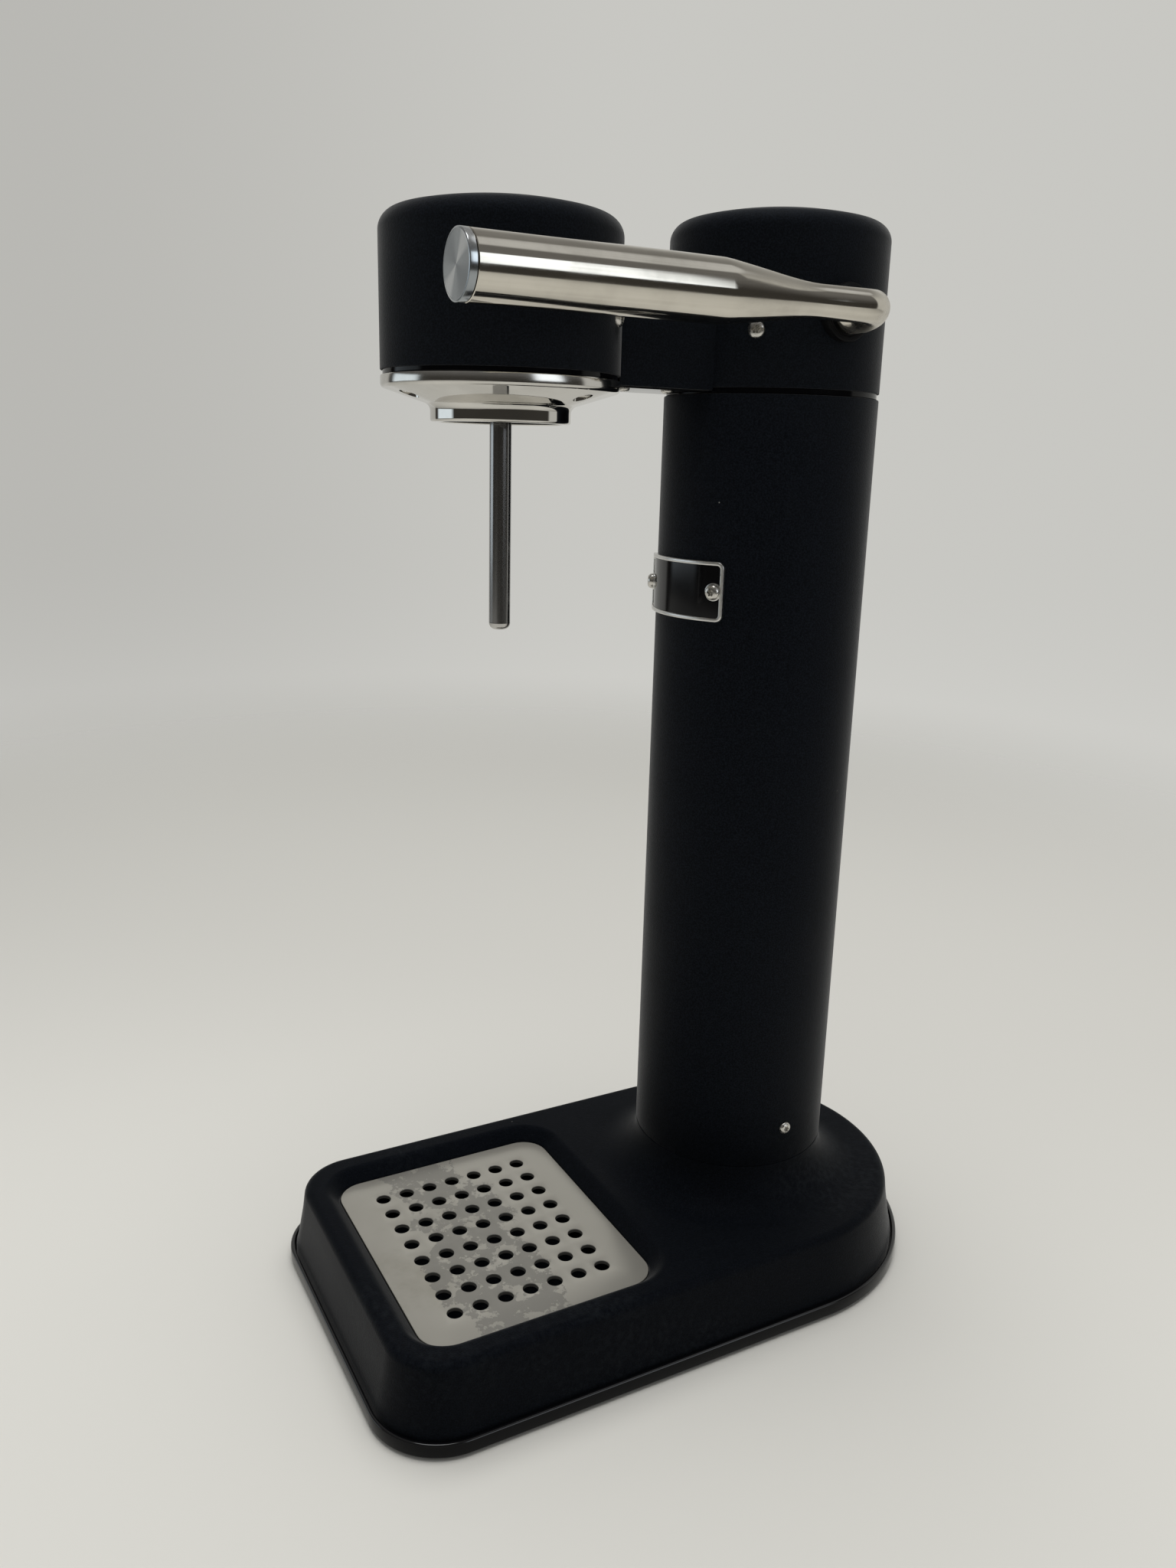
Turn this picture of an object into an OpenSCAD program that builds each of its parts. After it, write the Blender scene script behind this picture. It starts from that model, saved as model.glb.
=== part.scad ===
// Countertop sparkling water maker: a column for the gas cylinder, two domed heads joined by a bridge,
// a side lever that presses the gas valve, a carbonating nozzle in a steel collar, and a drip base.
// Millimetres, +Z up. The origin is the middle of the base on the table. The front is -Y, the lever is at +X.

/* [Base] */
// Width of the base over its rim
base_w = 153; // [145:1:165]
// Depth of the base over its rim
base_d = 258; // [250:1:275]
// Height of the base's top face
base_h = 32.5; // [29:0.5:34]
// Radius of the rim's front corners
corner_r = 28; // [24:1:34]
// Thickness of the pressed base shell
base_wall = 2; // [1.5:0.1:2.6]
// How far the wall leans in from its foot to the top edge
wall_lean = 4.5; // [2:0.5:6]
// Rounding of the top edge
edge_r = 3.5; // [2:0.5:5]
// Height of the glossy rim
rim_h = 6.8; // [6:0.2:9]
// Thickness of the rim's upstanding lip
rim_lip = 1.6; // [1.2:0.1:2]
// Open groove between the rim's lip and the wall
rim_groove = 0.9; // [0.5:0.1:1.5]
// Thickness of the pan's floor
pan_floor = 2.2; // [1.8:0.1:3]
// Height that the rubber feet hold the pan off the table
foot_stand = 0.8; // [0.5:0.1:1.5]
// Radius of a rubber foot
foot_r = 8; // [6:0.5:10]

/* [Drip plate] */
// Width of the plate
plate_w = 109.5; // [104:0.5:112]
// Depth of the plate
plate_d = 94; // [90:0.5:96]
// Thickness of the plate
plate_t = 1.5; // [1:0.1:2]
// Radius of the plate's corners
plate_r = 11; // [9:0.5:14]
// Distance from the rim's front to the plate
plate_front = 20.1; // [19:0.1:22]
// Height of the plate's top face
plate_z = 27.5; // [26.5:0.1:28.5]
// Diameter of a drain hole
hole_d = 6; // [4:0.1:7]
// Distance between drain holes across the plate
hole_pitch_x = 11.2; // [9:0.1:12]
// Distance between drain holes along the plate
hole_pitch_y = 10.2; // [9:0.1:11.5]
// Gap round the plate
plate_gap = 0.5; // [0.3:0.1:1]
// Width of the ledge that the plate lies on
ledge_w = 4; // [3:0.5:6]
// Depth of the drip basin under the plate
basin_h = 14; // [10:0.5:16]

/* [Column] */
// Outside diameter of the column and of both heads
column_d = 80; // [78:1:84]
// Wall of the column tube
column_wall = 1.2; // [1:0.1:1.6]
// Height of the seam between base and column
seam_z = 50.2; // [48:0.2:54]
// Height of the column tube's upper end
column_top = 352.6; // [340:0.2:360]
// Radius of the flare between base and column
flare_r = 17; // [12:1:17]
// Height of the side screws that hold the column
column_screw_z = 66; // [62:1:70]
// Length of the socket inside the column
spigot_h = 24; // [20:1:30]
// Bore of the guide ring for the gas cylinder
guide_d = 62; // [61:0.5:64]

/* [Heads] */
// Distance between the column's axis and the nozzle's
head_gap = 111.2; // [108:0.2:116]
// Height of the rear head above the column tube
head_h = 64.4; // [62:0.2:66]
// How much lower the front head's top is than the rear one's
head_drop = 8; // [6:0.2:9]
// Wall of the head shells
head_wall = 1.5; // [1.2:0.1:2]
// Rise of the domed top
dome_rise = 7; // [5:0.1:8]
// Rounding of the dome's edge
dome_edge_r = 8; // [6:0.1:9]
// Shadow gap between column tube and rear head
rear_gap = 2.1; // [1.5:0.1:3]
// Height of the front shell's lower edge above the column tube
front_rise = 3.4; // [3:0.1:4]
// Height of the glossy ring under the front head
front_ring = 1.6; // [1:0.1:2]
// How far the glossy rings lie behind the shells
ring_inset = 0.8; // [0.4:0.1:1.5]
// Height of the screws that hold the head shells, above the column tube
head_screw_rise = 20.9; // [19:0.1:22]
// Width of the bridge between the heads
bridge_w = 32; // [28:1:36]
// Height of the bridge's top above the column tube
bridge_rise = 41.4; // [38:0.2:44]
// Rounding of the bridge's upper edges
bridge_r = 4; // [2:0.5:6]

/* [Collar and nozzle] */
// Height of the collar below the front ring
collar_h = 13.8; // [12:0.2:16]
// Height of the collar's straight band
collar_band = 4.2; // [3:0.2:5]
// Outside diameter of the collar's neck
neck_d = 47.4; // [46:0.2:50]
// Bore of the collar
collar_bore = 41; // [40:0.2:42]
// Thickness of the rubber seal in the collar
seal_t = 1.7; // [1.2:0.1:2.2]
// Diameter of the nozzle tube
nozzle_d = 7.5; // [6:0.1:9]
// Height of the nozzle's tip
nozzle_z = 270.5; // [260:0.5:285]

/* [Lever] */
// Distance of the lever's rod from the middle of the machine
lever_x = 59; // [57:0.5:64]
// Height of the lever's pivot above the column tube
pivot_rise = 27.4; // [27:0.1:28]
// Distance from the pivot to the face of the lever's end cap
lever_l = 151.5; // [135:0.5:160]
// Diameter of the grip
grip_d = 19.6; // [17:0.1:21]
// Wall of the grip tube
grip_wall = 1.2; // [1:0.1:2]
// Diameter of the rod behind the swage
rod_d = 11; // [10:0.1:12]
// Length of the end cap
cap_l = 5; // [4:0.5:7]
// Distance from the pivot to the thin end of the swage
swage_end = 27; // [24:1:30]
// Length of the swage
swage_l = 37; // [28:1:42]
// Radius of the bend, at the middle of the rod
bend_r = 11; // [9:0.5:11]
// How far the bend swings out behind the pivot
bend_out = 1.5; // [1:0.1:1.7]
// Diameter of the swelled foot where the rod enters the head
leg_d = 14.6; // [12:0.1:15]
// Diameter of the lever's shaft
shaft_d = 9; // [8:0.1:9.4]
// Outside diameter of the bush's flange
bush_d = 19.4; // [17:0.2:21]
// Thickness of the bush's flange
bush_t = 2.8; // [2:0.1:3]
// How far the lever swings down, in degrees
lever_swing = 40; // [30:1:40]

/* [Gas valve] */
// Diameter of the gas cylinder's screw thread
thread_d = 21; // [20:0.1:22]
// Length of the thread in the valve block
thread_l = 12; // [10:0.5:13]
// Diameter of the plunger's stem
plunger_d = 5; // [4:0.1:5.4]
// Plunger travel for each radian of the lever
cam_rate = 4; // [3:0.1:4.4]
// Distance from the shaft's axis to the cam's flat
cam_r = 7.5; // [7.2:0.1:7.6]
// Width of the cam
cam_w = 10; // [6:0.5:14]
// Wire of the return spring
wire_d = 1; // [0.8:0.1:1.1]
// Turns of the return spring
spring_turns = 5; // [3:1:6]
// Outside diameter of the gas tube
tube_d = 6; // [5:0.1:6.4]

/* [Badge] */
// Height of the badge's middle
badge_z = 283.4; // [270:0.2:300]
// Height of the badge
badge_h = 21.8; // [18:0.2:24]
// Width of the badge, measured straight across
badge_w = 48.6; // [40:0.1:50]
// Width of the badge's raised frame
badge_edge = 1.4; // [0.8:0.1:2]
// Height of the frame above the column
badge_t = 1.6; // [1.2:0.1:2]

/* [Fits] */
// Radial clearance of a shaft or stem that turns or slides
run_fit = 0.05; // [0.02:0.01:0.1]
// Radial clearance of pieces that are pushed together
push_fit = 0.1; // [0.05:0.01:0.2]
// Gap between pieces that move past each other
move_gap = 0.3; // [0.2:0.05:0.6]

/* [Hidden] */
$fn = 72;

// Axes and levels shared by the pieces
half_w = base_w / 2;
column_y = base_d / 2 - half_w;
nozzle_y = column_y - head_gap;
column_r = column_d / 2;
corner_x = half_w - corner_r;
corner_y = -base_d / 2 + corner_r;
head_top = column_top + head_h;
rear_z = column_top + rear_gap;
front_z = column_top + front_rise;
collar_top = front_z - front_ring;
collar_low = collar_top - collar_h;
head_screw_z = column_top + head_screw_rise;
bridge_top = column_top + bridge_rise;
pivot_z = column_top + pivot_rise;
pan_top = foot_stand + pan_floor;
overcut = 1;

// The wall of the base: its foot stands inside the rim, and it leans in to a rounded top edge
foot_inset = rim_lip + rim_groove;
lean_angle = atan(wall_lean / (base_h - rim_h));
lean = tan(lean_angle);
edge_z = base_h - edge_r;
edge_inset = foot_inset + (edge_z - rim_h) * lean + edge_r / cos(lean_angle);
edge_steps = 6;
wall_profile = concat(
    [[foot_inset, pan_top], [foot_inset, rim_h]],
    [for (i = [0 : edge_steps])
        let (a = lean_angle + (90 - lean_angle) * i / edge_steps)
        [edge_inset - edge_r * cos(a), edge_z + edge_r * sin(a)]]
);
cavity_top = base_h - base_wall;
cavity_profile = [
    [foot_inset + base_wall, pan_top - overcut],
    [foot_inset + base_wall, rim_h],
    [foot_inset + base_wall + (cavity_top - rim_h) * lean, cavity_top]
];

// The drip plate's place, its ledge, and the dished slope that leads down to it
plate_y = -base_d / 2 + plate_front + plate_d / 2;
plate_seat = 0.05;
ledge_z = plate_z - plate_t - plate_seat;
dish_run = 7;
dish_lip = 0.3;
dish_bow_ratio = [0.62, 0.72];
dish_profile = [
    [plate_gap, ledge_z],
    [plate_gap, plate_z - dish_lip],
    [dish_run * dish_bow_ratio[0], plate_z + (base_h - plate_z) * dish_bow_ratio[1]],
    [dish_run, base_h],
    [dish_run, base_h + overcut]
];
basin_wall = 2;
basin_r = 4;
basin_z = ledge_z - basin_h;
hole_rows_x = 8;
hole_rows_y = 7;

// The socket that the column fits over, its bore, and the guide ring in it
spigot_r = column_r - column_wall - push_fit;
spigot_wall = 4.2;
bore_r = spigot_r - spigot_wall;
guide_h = 11;
guide_play = 0.5;
flare_wall = 2.4;
flare_roof = 3.4;
flare_steps = 10;
flare_lip = 1;
flange_r = column_r + flare_r + flare_lip;
seam_v = 0.4;
column_screw_r = 1.5;
column_head_r = 2.6;
column_head_h = 1.5;

// Fixings under the base
pan_screw_r = 1.5;
pan_head_r = 3;
pan_head_h = 1.1;
pan_screw_l = 9;
pan_sink = 1.2;
boss_r = 3.6;
boss_hole = 10;
boss_inset = 13;
boss_front = 28;
boss_middle = 42;
boss_rear = [21.5, 17.5];
boss_places = [
    [half_w - boss_inset, plate_y - boss_front],
    [half_w - boss_inset, plate_y + boss_middle],
    [half_w - boss_rear[0], column_y + boss_rear[1]]
];
foot_front = 10;
foot_rear = [36.5, 47.5];
foot_places = [
    [corner_x + foot_front, corner_y - foot_front],
    [half_w - foot_rear[0], column_y + foot_rear[1]]
];
foot_sink = 1;

// The heads: a flat wall, a rounded edge and a shallow dome, and the same form inside
ring_r = column_r - ring_inset;
frame_r = column_r - head_wall - push_fit;
frame_wall = 3;
head_screw_r = 1.5;
head_screw_head = 3;
head_screw_h = 1.8;
frame_rise = 12;
front_frame_rise = 5.5;
flange_play = 1;
window_margin = 2;
window_w = bridge_w - 2 * head_wall;
dome_steps = 8;
bridge_wall = 1.4;
beam_gap = 0.4;
beam_step = 0.6;
beam_low = column_top + beam_gap;
beam_top = front_z + beam_step;
floor_t = 2.4;
front_floor = front_z + floor_t;
chassis_spigot = 7.6;
spigot_low = column_top - chassis_spigot;
bridge_screw_x = 10;
bridge_screw_reach = [41.6, 52];
bridge_screw_y = [nozzle_y + bridge_screw_reach[0], column_y - bridge_screw_reach[1]];
bridge_screw_r = 1.3;
bridge_screw_l = 7;
bridge_head_r = 2.2;
bridge_head_h = 1.1;
bridge_boss_r = 3.2;
bridge_boss_hole = 9;

// Collar, seal and nozzle
collar_slope = 3.6;
band_round = 1.7;
neck_round = 1.2;
neck_fillet = 2.4;
neck_step = 1.2;
fillet_steps = 6;
collar_web = 2.4;
collar_screw_ring = 32.5;
collar_screw_r = 1.6;
collar_screw_head = 3;
collar_screw_h = 1.5;
collar_screw_sink = 1.2;
screw_end_gap = 0.4;
collar_screw_angles = [30 : 120 : 270];
seal_lift = 0.6;
seal_z = collar_low + seal_lift;
seal_h = 5;
tip_h = 2.3;
tip_hole = 0.6;
nozzle_wall = 1.5;
nozzle_bore = nozzle_d / 2 - nozzle_wall;
tip_spigot = 4;
block_r = 11.5;
block_drop = 7.4;
block_rise = 17;
block_low = collar_top - block_drop;
block_high = front_z + block_rise;
block_flange_r = 17;
block_flange_h = 1.5;
block_screw_r = 1.2;
block_head_r = 2.2;
block_head_h = 1.2;
nozzle_grip = 10;
nozzle_seat = block_low + nozzle_grip;
gas_way = 1.5;
relief_r = 4;
relief_l = 5;
relief_seat = 0.3;
relief_nut_r = 6.5;
relief_nut_h = 5;
relief_cap_r = 4.8;
relief_cap_h = 8;

// Fittings at both ends of the gas tube, held clear of the nozzle block's flange
fitting_r = 4.2;
fitting_l = 8;
fitting_stem = 5;
fitting_floor = 2;
port_z = front_floor + block_flange_h + fitting_r + move_gap;
port_r = 2;
port_l = 8;

// Valve block, plunger and cam
valve_flange_r = 29.5;
valve_flange_h = 3.3;
valve_r = 21.8;
valve_drop = 11.7;
valve_low = rear_z - valve_drop;
seal_floor = valve_low + thread_l;
gas_seal_r = 9.2;
gas_seal_h = 2;
gas_seal_bore = 4.5;
valve_hub_r = 16;
valve_rise = 11.6;
valve_top = rear_z + valve_rise;
valve_lug_r = 3.4;
valve_lug_l = 16;
valve_lug_reach = 27;
valve_lug_y = column_y - valve_lug_reach;
valve_screw_r = 1.5;
valve_screw_l = 7;
valve_head_r = 2.8;
valve_head_h = 1.5;
valve_screw_ring = 26;
spring_pocket_r = 8;
spring_boss_r = 4.4;
spring_floor = 0.5;
spring_low = rear_z + valve_flange_h + spring_floor;
plunger_top = pivot_z - cam_r - move_gap;
plunger_head_h = 2.5;
plunger_play = 0.4;
plunger_head_r = spring_pocket_r - plunger_play;
pin_gap = 0.5;
plunger_low = seal_floor + pin_gap;
spring_high = plunger_top - plunger_head_h;
spring_r = (spring_pocket_r + spring_boss_r) / 2;
cam_steps = 12;
cam_step = 0.3;
cam_hub_r = cam_r - cam_step;
cam_heel = 2;
cam_over = 6;
cam_screw_r = 1.5;
nozzle_lug_y = nozzle_y + block_r;

// Lever: one revolved grip, swage and rod, a bend, and a leg that ends in the shaft
rod_r = rod_d / 2;
grip_r = grip_d / 2;
shaft_r = shaft_d / 2;
leg_x = column_r + bush_t + move_gap;
leg_l = lever_x - bend_r - leg_x;
shaft_v = 0.5;
swage_steps = 16;
swage_ease = 0.8;
cap_groove = 0.5;
cap_spigot = 10;
cap_chamfer = 0.4;
grip_floor = 4;
leg_v = 0.6;
grip_end = swage_end + swage_l;
bush_r = 8;
bush_root = 3;
inner_bush_r = 7;
inner_bush_end = sqrt(frame_r * frame_r - inner_bush_r * inner_bush_r);
shaft_end = inner_bush_end;
bush_reach = 2;
bush_in = frame_r - frame_wall - bush_reach;
ring_t = 1;
ring_groove = 0.5;
ring_x = bush_in - move_gap - ring_t;
retain_r = 7.2;

// Badge
badge_round = 2.6;
badge_plate_t = 1;
badge_screw_angle = 30.4;
badge_tab_r = 3.3;
badge_screw_r = 1;
badge_screw_l = 3;
badge_head_r = 2.9;
badge_head_h = 2.1;

// Points along an arc, as [x, y]
function arc(centre, r, a0, a1, steps) =
    [for (i = [0 : steps]) let (a = a0 + (a1 - a0) * i / steps) centre + r * [cos(a), sin(a)]];

// Outline of a head from its lower edge to the middle of its dome; inset gives the inner form
function head_outline(low, top, inset) =
    let (
        dome_r = (column_r * column_r + dome_rise * dome_rise) / (2 * dome_rise),
        dome_z = top - dome_r,
        edge_x = column_r - dome_edge_r,
        edge_top = dome_z + sqrt(pow(dome_r - dome_edge_r, 2) - edge_x * edge_x),
        tilt = asin(edge_x / (dome_r - dome_edge_r))
    )
    concat(
        [[0, low], [column_r - inset, low]],
        arc([edge_x, edge_top], dome_edge_r - inset, 0, 90 - tilt, dome_steps),
        [for (p = arc([0, dome_z], dome_r - inset, 90 - tilt, 90, dome_steps)) if (p[0] < edge_x) p]
    );

module at_column() translate([0, column_y, 0]) children();
module at_nozzle() translate([0, nozzle_y, 0]) children();
// Turns the local +Z to +X, -X or +Y
module along_x() rotate([0, 90, 0]) children();
module along_minus_x() rotate([0, -90, 0]) children();
module along_y() rotate([-90, 0, 0]) children();

module ring(r_out, r_in, low, high) {
    translate([0, 0, low])
        difference() {
            cylinder(r = r_out, h = high - low);
            translate([0, 0, -overcut]) cylinder(r = r_in, h = high - low + 2 * overcut);
        }
}

// Solid with the outline of the base; profile holds [inset from the rim's outline, z] from low to high
module base_block(profile) {
    low = profile[0][1];
    high = profile[len(profile) - 1][1];
    at_column()
        rotate_extrude(angle = 180)
            polygon(concat([[0, low]], [for (p = profile) [half_w - p[0], p[1]]], [[0, high]]));
    translate([0, column_y, 0])
        rotate([90, 0, 0])
            linear_extrude(column_y - corner_y)
                polygon(concat(
                    [for (p = profile) [half_w - p[0], p[1]]],
                    [for (i = [len(profile) - 1 : -1 : 0]) [profile[i][0] - half_w, profile[i][1]]]));
    translate([-corner_x, corner_y, 0])
        rotate([90, 0, 90])
            linear_extrude(2 * corner_x)
                polygon(concat([[0, low]], [for (p = profile) [p[0] - corner_r, p[1]]], [[0, high]]));
    for (side = [-1, 1])
        translate([side * corner_x, corner_y, 0])
            rotate([0, 0, side > 0 ? -90 : 180])
                rotate_extrude(angle = 90)
                    polygon(concat([[0, low]], [for (p = profile) [corner_r - p[0], p[1]]], [[0, high]]));
}

// Solid with a rounded rectangle's outline; profile holds [growth of the outline, z] from low to high
module plate_block(profile, w, d, r) {
    low = profile[0][1];
    high = profile[len(profile) - 1][1];
    cx = w / 2 - r;
    cy = d / 2 - r;
    translate([0, cy, 0])
        rotate([90, 0, 0])
            linear_extrude(2 * cy)
                polygon(concat(
                    [for (p = profile) [w / 2 + p[0], p[1]]],
                    [for (i = [len(profile) - 1 : -1 : 0]) [-w / 2 - profile[i][0], profile[i][1]]]));
    for (side = [0, 180])
        rotate([0, 0, side])
            translate([-cx, cy, 0])
                rotate([90, 0, 90])
                    linear_extrude(2 * cx)
                        polygon(concat([[0, low]], [for (p = profile) [r + p[0], p[1]]], [[0, high]]));
    for (i = [0 : 3])
        translate([(i == 0 || i == 3 ? 1 : -1) * cx, (i < 2 ? 1 : -1) * cy, 0])
            rotate([0, 0, 90 * i])
                rotate_extrude(angle = 90)
                    polygon(concat([[0, low]], [for (p = profile) [r + p[0], p[1]]], [[0, high]]));
}

// Flat rounded rectangle
module round_rect(w, d, r) {
    square([w - 2 * r, d], center = true);
    square([w, d - 2 * r], center = true);
    for (x = [-1, 1], y = [-1, 1]) translate([x * (w / 2 - r), y * (d / 2 - r)]) circle(r);
}

// Button-head screw on the plane z = 0, with its shank below
module screw(head, height, shank, length) {
    socket = 0.45 * head;
    rotate_extrude()
        polygon([
            [0, -length], [shank, -length], [shank, 0], [head, 0], [head, 0.3 * height],
            [0.86 * head, 0.7 * height], [0.62 * head, height], [socket, height],
            [socket, 0.4 * height], [0, 0.4 * height]
        ]);
}

// Both sides of the machine
module both_sides() {
    children();
    mirror([1, 0, 0]) children();
}

module base_shell() {
    color("#15171b")
        difference() {
            base_block(wall_profile);
            difference() {
                base_block(cavity_profile);
                both_sides() for (p = boss_places) translate(p) cylinder(r = boss_r, h = base_h);
            }
            translate([0, plate_y, ledge_z - base_wall]) linear_extrude(base_h) dish_outline(dish_run);
            at_column() translate([0, 0, cavity_top]) cylinder(r = flange_r + push_fit, h = base_h);
            both_sides()
                for (p = boss_places)
                    translate([p[0], p[1], pan_top - overcut])
                        cylinder(r = pan_screw_r + push_fit, h = boss_hole + overcut);
        }
}

// Flared foot of the column, spun from sheet and let flush into the base's top
module column_foot() {
    color("#15171b")
        at_column()
            difference() {
                rotate_extrude() polygon(flare_outline());
                rotate_extrude() polygon(flare_cavity());
                cylinder(r = spigot_r + push_fit, h = seam_z + overcut);
            }
}

// Outside of the flare, from under the top face up to the seam's small bevel
function flare_outline() = concat(
    [[0, cavity_top], [flange_r, cavity_top], [flange_r, base_h]],
    [for (i = [flare_steps : -1 : 0])
        let (a = 180 + 90 * i / flare_steps)
        [column_r + flare_r, base_h + flare_r] + flare_r * [cos(a), sin(a)]],
    [[column_r, seam_z - seam_v], [column_r - seam_v, seam_z], [0, seam_z]]
);

// Hollow under the flare
function flare_cavity() =
    let (
        r = flare_r + flare_wall,
        high = seam_z - flare_roof,
        a0 = 180 + asin((base_h + flare_r - high) / r)
    )
    concat(
        [[0, cavity_top - overcut], [column_r + flare_r, cavity_top - overcut]],
        [for (i = [flare_steps : -1 : 0])
            let (a = a0 + (270 - a0) * i / flare_steps)
            [column_r + flare_r, base_h + flare_r] + r * [cos(a), sin(a)]],
        [[0, high]]
    );

// Outline of the drip plate, grown by some width
module dish_outline(grow) {
    round_rect(plate_w + 2 * grow, plate_d + 2 * grow, plate_r + grow);
}

// Outline of the drip basin, grown by some width
module basin_outline(grow) {
    inset = ledge_w - grow;
    round_rect(plate_w - 2 * inset, plate_d - 2 * inset, basin_r + grow);
}

// Tub let flush into the base's top: the dish round the plate, its ledge, and the basin for the drips
module basin_tub() {
    color("#15171b")
        translate([0, plate_y, 0])
            difference() {
                union() {
                    translate([0, 0, ledge_z - base_wall])
                        linear_extrude(base_h - ledge_z + base_wall) dish_outline(dish_run - push_fit);
                    translate([0, 0, basin_z - basin_wall]) linear_extrude(basin_h) basin_outline(basin_wall);
                }
                plate_block(dish_profile, plate_w, plate_d, plate_r);
                translate([0, 0, basin_z]) linear_extrude(basin_h + overcut) basin_outline(0);
            }
}

module base_pan() {
    lip_r = 0.5;
    pan_profile = [[lip_r, foot_stand], [0, foot_stand + lip_r], [0, rim_h - lip_r], [lip_r, rim_h]];
    inside_profile = [[rim_lip, pan_top], [rim_lip, rim_h + overcut]];
    color("#0b0b0c")
        difference() {
            base_block(pan_profile);
            base_block(inside_profile);
            at_column() cylinder(r = guide_d / 2 + guide_play, h = pan_top + overcut);
            both_sides() {
                for (p = boss_places) {
                    translate(p) cylinder(r = pan_screw_r + push_fit, h = pan_top + overcut);
                    translate(p) cylinder(r = pan_head_r + push_fit, h = foot_stand + pan_sink);
                }
                for (p = foot_places)
                    translate(p) cylinder(r = foot_r + push_fit, h = foot_stand + foot_sink);
            }
        }
}

module foot_pads() {
    color("#1c1c1c")
        both_sides() for (p = foot_places) translate(p) cylinder(r = foot_r, h = foot_stand + foot_sink);
}

module pan_screws() {
    color("silver")
        both_sides()
            for (p = boss_places)
                translate([p[0], p[1], foot_stand + pan_sink])
                    mirror([0, 0, 1]) screw(pan_head_r, pan_head_h, pan_screw_r, pan_screw_l);
}

// Tube inside the base and the foot of the column, which the column is screwed to
module column_socket() {
    color("#15171b")
        at_column()
            difference() {
                ring(spigot_r, bore_r, pan_top, seam_z + spigot_h);
                translate([0, 0, column_screw_z])
                    for (side = [0, 180])
                        rotate([0, 0, side]) along_x() cylinder(r = column_screw_r + push_fit, h = column_r);
            }
}

module cylinder_guide() {
    color("#202020") at_column() ring(bore_r - push_fit, guide_d / 2, pan_top, pan_top + guide_h);
}

module drip_plate() {
    color("#b9b5ac")
        translate([0, plate_y, plate_z - plate_t])
            linear_extrude(plate_t)
                difference() {
                    round_rect(plate_w, plate_d, plate_r);
                    for (i = [0 : hole_rows_x - 1], j = [0 : hole_rows_y - 1])
                        translate([
                            (i - (hole_rows_x - 1) / 2) * hole_pitch_x,
                            (j - (hole_rows_y - 1) / 2) * hole_pitch_y
                        ])
                            circle(hole_d / 2);
                }
}

module column_tube() {
    color("#15171b")
        at_column()
            difference() {
                rotate_extrude()
                    polygon([
                        [column_r - column_wall, seam_z], [column_r - seam_v, seam_z],
                        [column_r, seam_z + seam_v], [column_r, column_top - seam_v],
                        [column_r - seam_v, column_top], [column_r - column_wall, column_top]
                    ]);
                translate([0, 0, column_screw_z])
                    for (side = [0, 180])
                        rotate([0, 0, side])
                            along_x() cylinder(r = column_screw_r + push_fit, h = 2 * column_r);
                at_badge_screws() cylinder(r = badge_screw_r + push_fit, h = 2 * column_r);
            }
}

module column_screws() {
    color("silver")
        at_column()
            for (side = [0, 180])
                rotate([0, 0, side])
                    translate([column_r, 0, column_screw_z])
                        along_x()
                            screw(column_head_r, column_head_h, column_screw_r, column_wall + spigot_wall);
}

// Places of the badge's screws, seen from the column's axis
module at_badge_screws() {
    for (side = [-1, 1])
        translate([0, 0, badge_z]) rotate([0, 0, side * badge_screw_angle]) rotate([90, 0, 0]) children();
}

// Piece of a tube on the column's front, with a rounded outline seen from the front
module badge_piece(low, high, w, h, r) {
    at_column()
        intersection() {
            ring(high, low, badge_z - badge_h, badge_z + badge_h);
            translate([0, 0, badge_z]) rotate([90, 0, 0]) linear_extrude(2 * column_r) round_rect(w, h, r);
        }
}

module badge_tabs(low, high, r) {
    at_column()
        intersection() {
            ring(high, low, badge_z - badge_h, badge_z + badge_h);
            at_badge_screws() cylinder(r = r, h = 2 * column_r);
        }
}

module badge_frame() {
    color("#c9c8c4")
        difference() {
            union() {
                difference() {
                    badge_piece(column_r, column_r + badge_t, badge_w, badge_h, badge_round);
                    badge_piece(column_r - overcut, column_r + badge_t + overcut,
                        badge_w - 2 * badge_edge, badge_h - 2 * badge_edge, badge_round - badge_edge / 2);
                }
                badge_tabs(column_r, column_r + badge_t, badge_tab_r);
            }
            at_column() at_badge_screws() cylinder(r = badge_screw_r + push_fit, h = 2 * column_r);
        }
}

module badge_plate() {
    color("#08080a")
        difference() {
            badge_piece(column_r, column_r + badge_plate_t, badge_w - 2 * badge_edge - 2 * push_fit,
                badge_h - 2 * badge_edge - 2 * push_fit, badge_round - badge_edge / 2);
            badge_tabs(column_r - overcut, column_r + badge_t, badge_tab_r + push_fit);
        }
}

module badge_screws() {
    color("silver")
        at_column()
            at_badge_screws()
                translate([0, 0, column_r + badge_t])
                    screw(badge_head_r, badge_head_h, badge_screw_r, badge_t + badge_screw_l);
}

// Where the head screws sit: 45 degrees from the bridge on each head
module at_head_screws() {
    for (side = [-1, 1]) {
        translate([0, column_y, head_screw_z]) rotate([0, 0, -90 + 45 * side]) along_x() children();
        translate([0, nozzle_y, head_screw_z]) rotate([0, 0, 90 + 45 * side]) along_x() children();
    }
}

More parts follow.
